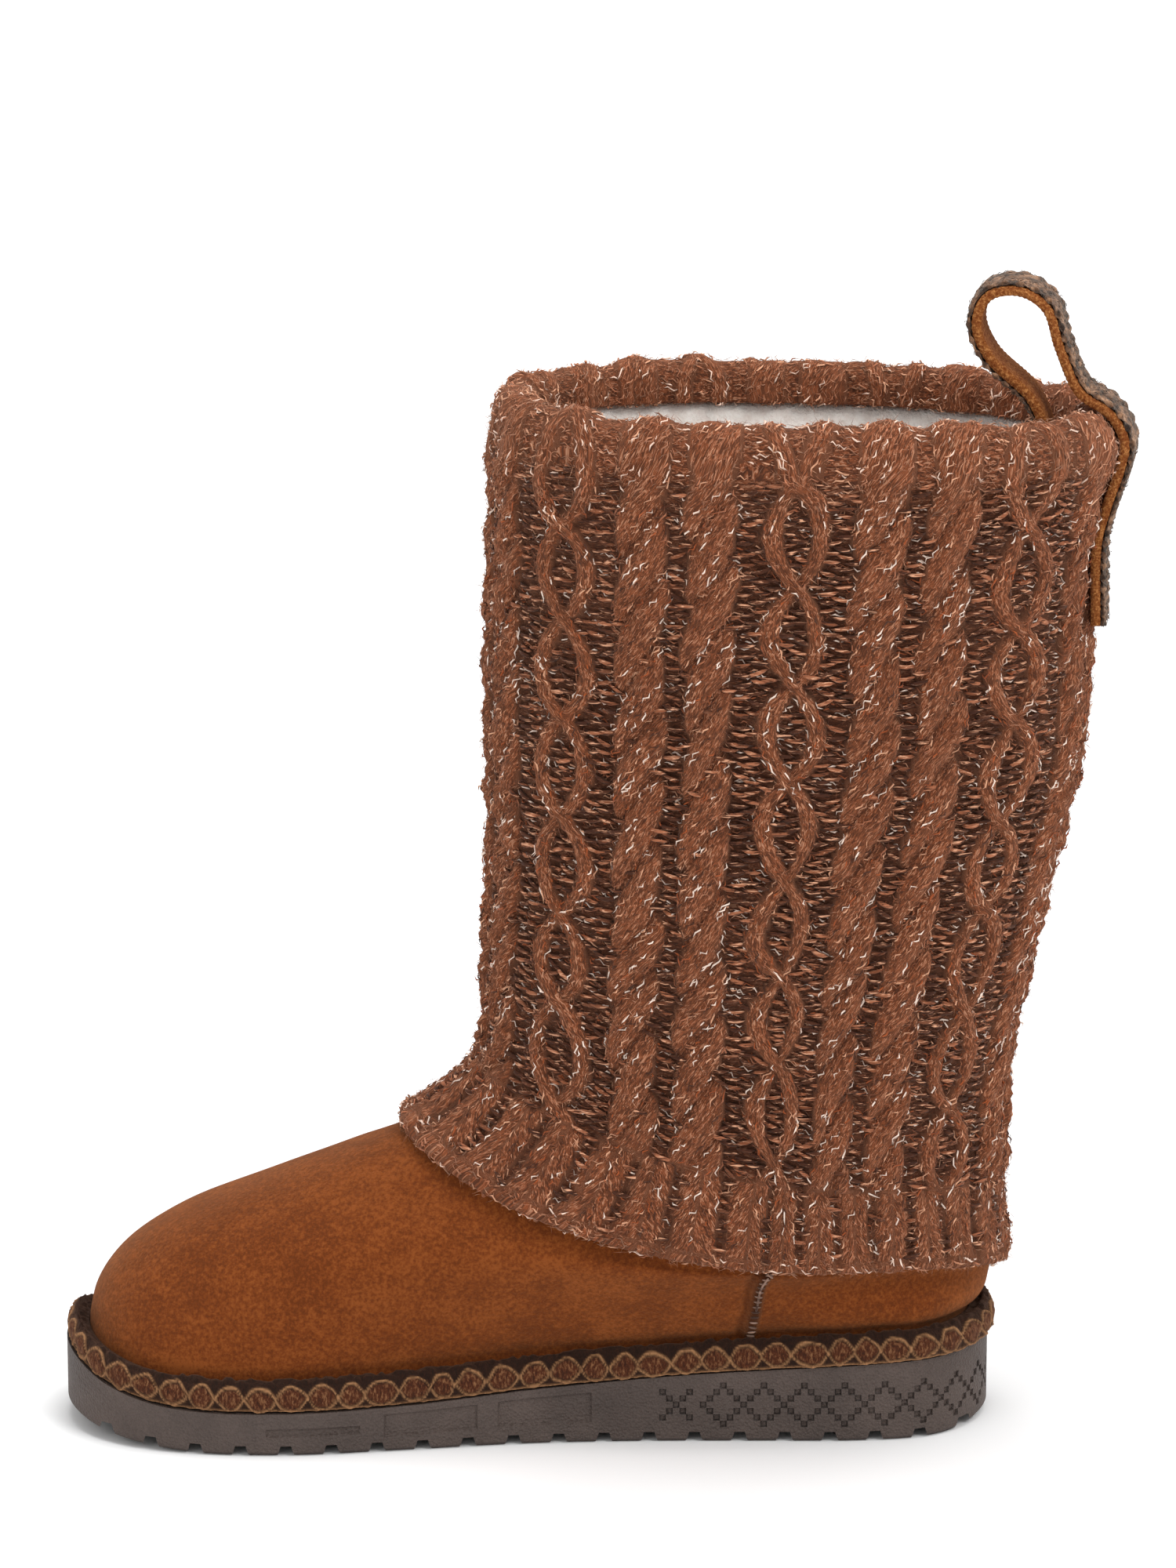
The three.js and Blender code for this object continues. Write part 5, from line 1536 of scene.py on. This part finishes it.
def make_loop(settings):
    """The pull loop: a suede tape inside and mottled webbing outside it."""
    tape = strap_grid(0.0001, TAPE_THICKNESS, backing_shape)
    finish_piece(band_piece("pull_loop_suede", tape, backing_finish(settings)), "suede", "pull_loop_backing")
    near = TAPE_THICKNESS + GAP
    grid = strap_grid(near, near + BRAID_THICKNESS, webbing_shape)
    along = unit(np.gradient(grid, axis=0))
    side = unit(np.roll(grid, -1, 1) - np.roll(grid, 1, 1))
    half = np.sign(np.linspace(-1, 1, STRAP_COLUMNS))
    slant = 0.8 * np.concatenate([half, half[::-1]])
    fields = {"way": unit(along - side * slant[:, None]), "fuzz": np.ones(grid.shape[:2])}
    webbing = band_piece("pull_loop_braid", grid, webbing_finish(settings), fields)
    fibre = fibre_shape((1.6,))
    stops = ((0.0, settings.web), (0.3, settings.web_dark), (0.68, settings.web_light),
             (0.84, settings.knit_mid))
    values = {"Where": "fuzz", "Density": settings.fibre_density * 0.6, "Seed": 6, "Fibre": fibre,
              "Shortest": 0.0012, "Longest": 0.0024, "Thickness": 0.00026, "Disorder": 0.5, "Swirl": 1.0,
              "Lift": 0.0002, "Material": fibre_finish("webbing fibres", stops, settings)}
    fibres = bake_group("pull_loop_fibres", webbing, scatter_group(), values)
    drop(fibre)
    finish_piece(fibres, "webbing", "pull_loop_webbing")
    return finish_piece(webbing, "webbing", "pull_loop_webbing")


# Stage

CAMERA_AIM = Vector((-0.07634, 0, 0.18791))
CAMERA_DOWN = math.radians(14.5)
CAMERA_DISTANCE = 1.9
CAMERA_LENS = 151.51
LIGHT_AIM = Vector((-0.06, 0, 0.15))
FLOOR_REACH = 9.0
FLOOR_DROP = 0.0002
GLOW_START = 0.6
GLOW_FULL = 2.2


def make_floor(settings):
    """The white floor, which glows a little away from the boot."""
    material, tree, shader = new_finish("white floor", 0.9, specular=0.1)
    cloud = noise(tree, object_place(tree), 3, 2)
    tone = ramp(tree, cloud, ((0.0, (0.9, 0.9, 0.9)), (1.0, (0.93, 0.93, 0.93))))
    tree.links.new(tone, shader.inputs["Base Color"])
    shader.inputs["Emission Color"].default_value = (1, 1, 1, 1)
    far = node(tree, "ShaderNodeVectorMath", {0: object_place(tree)}, operation="LENGTH").outputs["Value"]
    inputs = {"Value": far, "From Min": GLOW_START, "From Max": GLOW_FULL}
    glow = maths(tree, "MULTIPLY", node(tree, "ShaderNodeMapRange", inputs).outputs[0], settings.floor_glow)
    tree.links.new(glow, shader.inputs["Emission Strength"])
    corners = np.array([(-1, -1, 0), (1, -1, 0), (1, 1, 0), (-1, 1, 0)]) * FLOOR_REACH
    floor = mesh_from("floor", corners - (0, 0, FLOOR_DROP), [(0, 1, 2, 3)], None, material, smooth=False)


def make_stage(settings):
    """The white floor, the soft studio lights and the camera."""
    scene = bpy.context.scene
    world = bpy.data.worlds.new("soft studio")
    scene.world = world
    world.use_nodes = True
    background = world.node_tree.nodes["Background"]
    background.inputs["Color"].default_value = (1, 1, 1, 1)
    background.inputs["Strength"].default_value = settings.surround
    make_floor(settings)

    lights = (("key", (0.9, -1.0, 1.5), 0.7, settings.key_light),
              ("fill", (-1.1, -1.3, 0.9), 1.0, settings.fill_light),
              ("top", (0.0, 0.1, 1.7), 0.9, settings.top_light))
    for name, spot, size, watts in lights:
        lamp = bpy.data.lights.new(name, "AREA")
        lamp.shape, lamp.size, lamp.energy = "SQUARE", size, watts
        lamp_object = bpy.data.objects.new(name, lamp)
        scene.collection.objects.link(lamp_object)
        lamp_object.location = spot
        lamp_object.rotation_euler = (LIGHT_AIM - Vector(spot)).to_track_quat("-Z", "Y").to_euler()

    lens = bpy.data.cameras.new("camera")
    lens.lens, lens.sensor_width, lens.sensor_fit = CAMERA_LENS, 36, "AUTO"
    camera = bpy.data.objects.new("camera", lens)
    scene.collection.objects.link(camera)
    away = Vector((0, -math.cos(CAMERA_DOWN), math.sin(CAMERA_DOWN))) * CAMERA_DISTANCE
    camera.location = CAMERA_AIM + away
    camera.rotation_euler = (math.pi / 2 - CAMERA_DOWN, 0, 0)
    scene.camera = camera
    scene.view_settings.view_transform = "Standard"


# Add-on

def colour(name, description, value):
    return bpy.props.FloatVectorProperty(name=name, description=description, default=value, size=3, min=0,
                                         max=1, subtype="COLOR")


def amount(name, description, value, unit="NONE"):
    return bpy.props.FloatProperty(name=name, description=description, default=value, min=0, unit=unit)


class BootSettings(bpy.types.PropertyGroup):
    """Sizes and colours of the boot and its stage that a user would change."""
    fibre_density: amount("Fibres", "Brushed fibres per square metre", 260000)
    key_light: amount("Key light", "Power of the main light", 13, "POWER")
    fill_light: amount("Fill light", "Power of the weaker light", 3.5, "POWER")
    top_light: amount("Top light", "Power of the light above", 18, "POWER")
    floor_glow: amount("Floor glow", "How much the white floor glows", 0.5)
    surround: amount("Surround", "Strength of the white room", 0.75)
    knit_mid: colour("Yarn", "Main tone of the yarn", srgb(128, 73, 46))
    knit_rope: colour("Yarn, raised", "Tone on the cables", srgb(166, 103, 72))
    # The yarn's dark ply, also the painted shade on fibres deep in the gutters
    knit_dark_and_shade: colour("Yarn, dark", "Dark ply of the yarn", srgb(76, 41, 25))
    # The yarn's deepest tone, also the painted shade on the floor of the gutters
    knit_deepest_and_gutter_shade: colour("Yarn, deepest", "Floor of the gutters", srgb(56, 29, 18))
    knit_rust: colour("Yarn, rust", "Rust fleck of the yarn", srgb(160, 80, 40))
    knit_light: colour("Yarn, light", "Light ply of the yarn", srgb(216, 160, 126))
    knit_cream: colour("Yarn, cream", "Cream fleck of the yarn", srgb(246, 224, 208))
    suede: colour("Suede", "Main tone of the suede", srgb(116, 56, 18))
    suede_dark: colour("Suede, dark", "Nap brushed dark", srgb(97, 45, 13))
    # Colour of the seam's ridge, also the painted shadow in the valley ahead of it
    seam: colour("Seam", "Suede rolled dark along the side seams", srgb(62, 28, 12))
    suede_light: colour("Suede, light", "Nap brushed light", srgb(135, 71, 28))
    rubber: colour("Rubber", "Main tone of the sole", srgb(84, 71, 65))
    # Painted shade on the walls of the pockets
    rubber_pocket_shade: colour("Rubber, shaded", "Walls of the moulded pockets", srgb(34, 27, 24))
    # The sole's darker patches, also the lighter end of the painted shade on the pockets' walls
    rubber_dark_and_shade: colour("Rubber, dark", "Darker patches of the sole", srgb(66, 55, 50))
    fleece: colour("Fleece", "Main tone of the pile", srgb(255, 250, 244))
    # Painted shade in the hollows of the pile
    fleece_hollow_shade: colour("Fleece, deep", "Pile where it is deep", srgb(238, 226, 218))
    thread: colour("Thread", "Light stitches", srgb(144, 114, 98))
    thread_dark: colour("Thread, dark", "Dark stitches", srgb(62, 36, 24))
    rand_rust: colour("Rand, ovals", "Rust ovals of the braid", srgb(74, 35, 16))
    rand_light: colour("Rand, yarn", "Tan outline of the ovals", srgb(164, 120, 82))
    rand_dark: colour("Rand, dark", "Dark strands of the braid", srgb(46, 23, 12))
    rand_black: colour("Rand, darkest", "Gaps of the braid", srgb(26, 13, 7))
    tape: colour("Tape", "Main tone of the suede tape", srgb(140, 80, 36))
    tape_light: colour("Tape, light", "Light grain of the suede tape", srgb(188, 126, 70))
    web: colour("Webbing", "Main tone of the webbing", srgb(96, 68, 50))
    web_dark: colour("Webbing, dark", "Dark bits of the webbing", srgb(40, 28, 22))
    web_light: colour("Webbing, light", "Light bits of the webbing", srgb(158, 120, 92))


class MakeStage(bpy.types.Operator):
    """Adds the floor, the lights and the camera"""
    bl_idname = "boot.stage"
    bl_label = "Stage"

    def execute(self, context):
        make_stage(context.scene.boot)
        return {"FINISHED"}


class MakeOutsole(bpy.types.Operator):
    """Adds the moulded outsole"""
    bl_idname = "boot.outsole"
    bl_label = "Outsole"

    def execute(self, context):
        make_outsole(context.scene.boot)
        return {"FINISHED"}


class MakeUpper(bpy.types.Operator):
    """Adds the suede foot and its side seams"""
    bl_idname = "boot.upper"
    bl_label = "Suede upper and seams"

    def execute(self, context):
        make_upper(context.scene.boot)
        make_stitches(context.scene.boot)
        return {"FINISHED"}


class MakeLining(bpy.types.Operator):
    """Adds the fleece lining and the fleece insole"""
    bl_idname = "boot.lining"
    bl_label = "Lining and insole"

    def execute(self, context):
        fleece = fleece_finish(context.scene.boot)
        make_lining(fleece)
        make_insole(fleece)
        return {"FINISHED"}

class MakeRand(bpy.types.Operator):
    """Adds the woven rand round the foot"""
    bl_idname = "boot.rand"
    bl_label = "Rand"

    def execute(self, context):
        make_rand(context.scene.boot)
        return {"FINISHED"}


class MakeKnit(bpy.types.Operator):
    """Adds the cable-knit sleeve"""
    bl_idname = "boot.knit"
    bl_label = "Knit sleeve"

    def execute(self, context):
        make_knit(context.scene.boot)
        return {"FINISHED"}


class MakeLoop(bpy.types.Operator):
    """Adds the pull loop at the back"""
    bl_idname = "boot.loop"
    bl_label = "Pull loop"

    def execute(self, context):
        make_loop(context.scene.boot)
        return {"FINISHED"}


PIECES = (MakeStage, MakeOutsole, MakeUpper, MakeLining, MakeRand, MakeKnit, MakeLoop)


class BootPanel(bpy.types.Panel):
    """The boot's pieces and settings"""
    bl_idname = "VIEW3D_PT_boot"
    bl_label = "Slipper boot"
    bl_space_type = "VIEW_3D"
    bl_region_type = "UI"
    bl_category = "Boot"

    def draw(self, context):
        for piece in PIECES:
            self.layout.operator(piece.bl_idname)
        for name in BootSettings.__annotations__:
            self.layout.prop(context.scene.boot, name)


def register():
    for kind in (BootSettings, *PIECES, BootPanel):
        bpy.utils.register_class(kind)
    bpy.types.Scene.boot = bpy.props.PointerProperty(type=BootSettings)


def unregister():
    del bpy.types.Scene.boot
    for kind in (BootPanel, *reversed(PIECES), BootSettings):
        bpy.utils.unregister_class(kind)


def main():
    register()
    bpy.ops.boot.stage()
    bpy.ops.boot.outsole()
    bpy.ops.boot.upper()
    bpy.ops.boot.lining()
    bpy.ops.boot.rand()
    bpy.ops.boot.knit()
    bpy.ops.boot.loop()


if __name__ == "__main__":
    main()
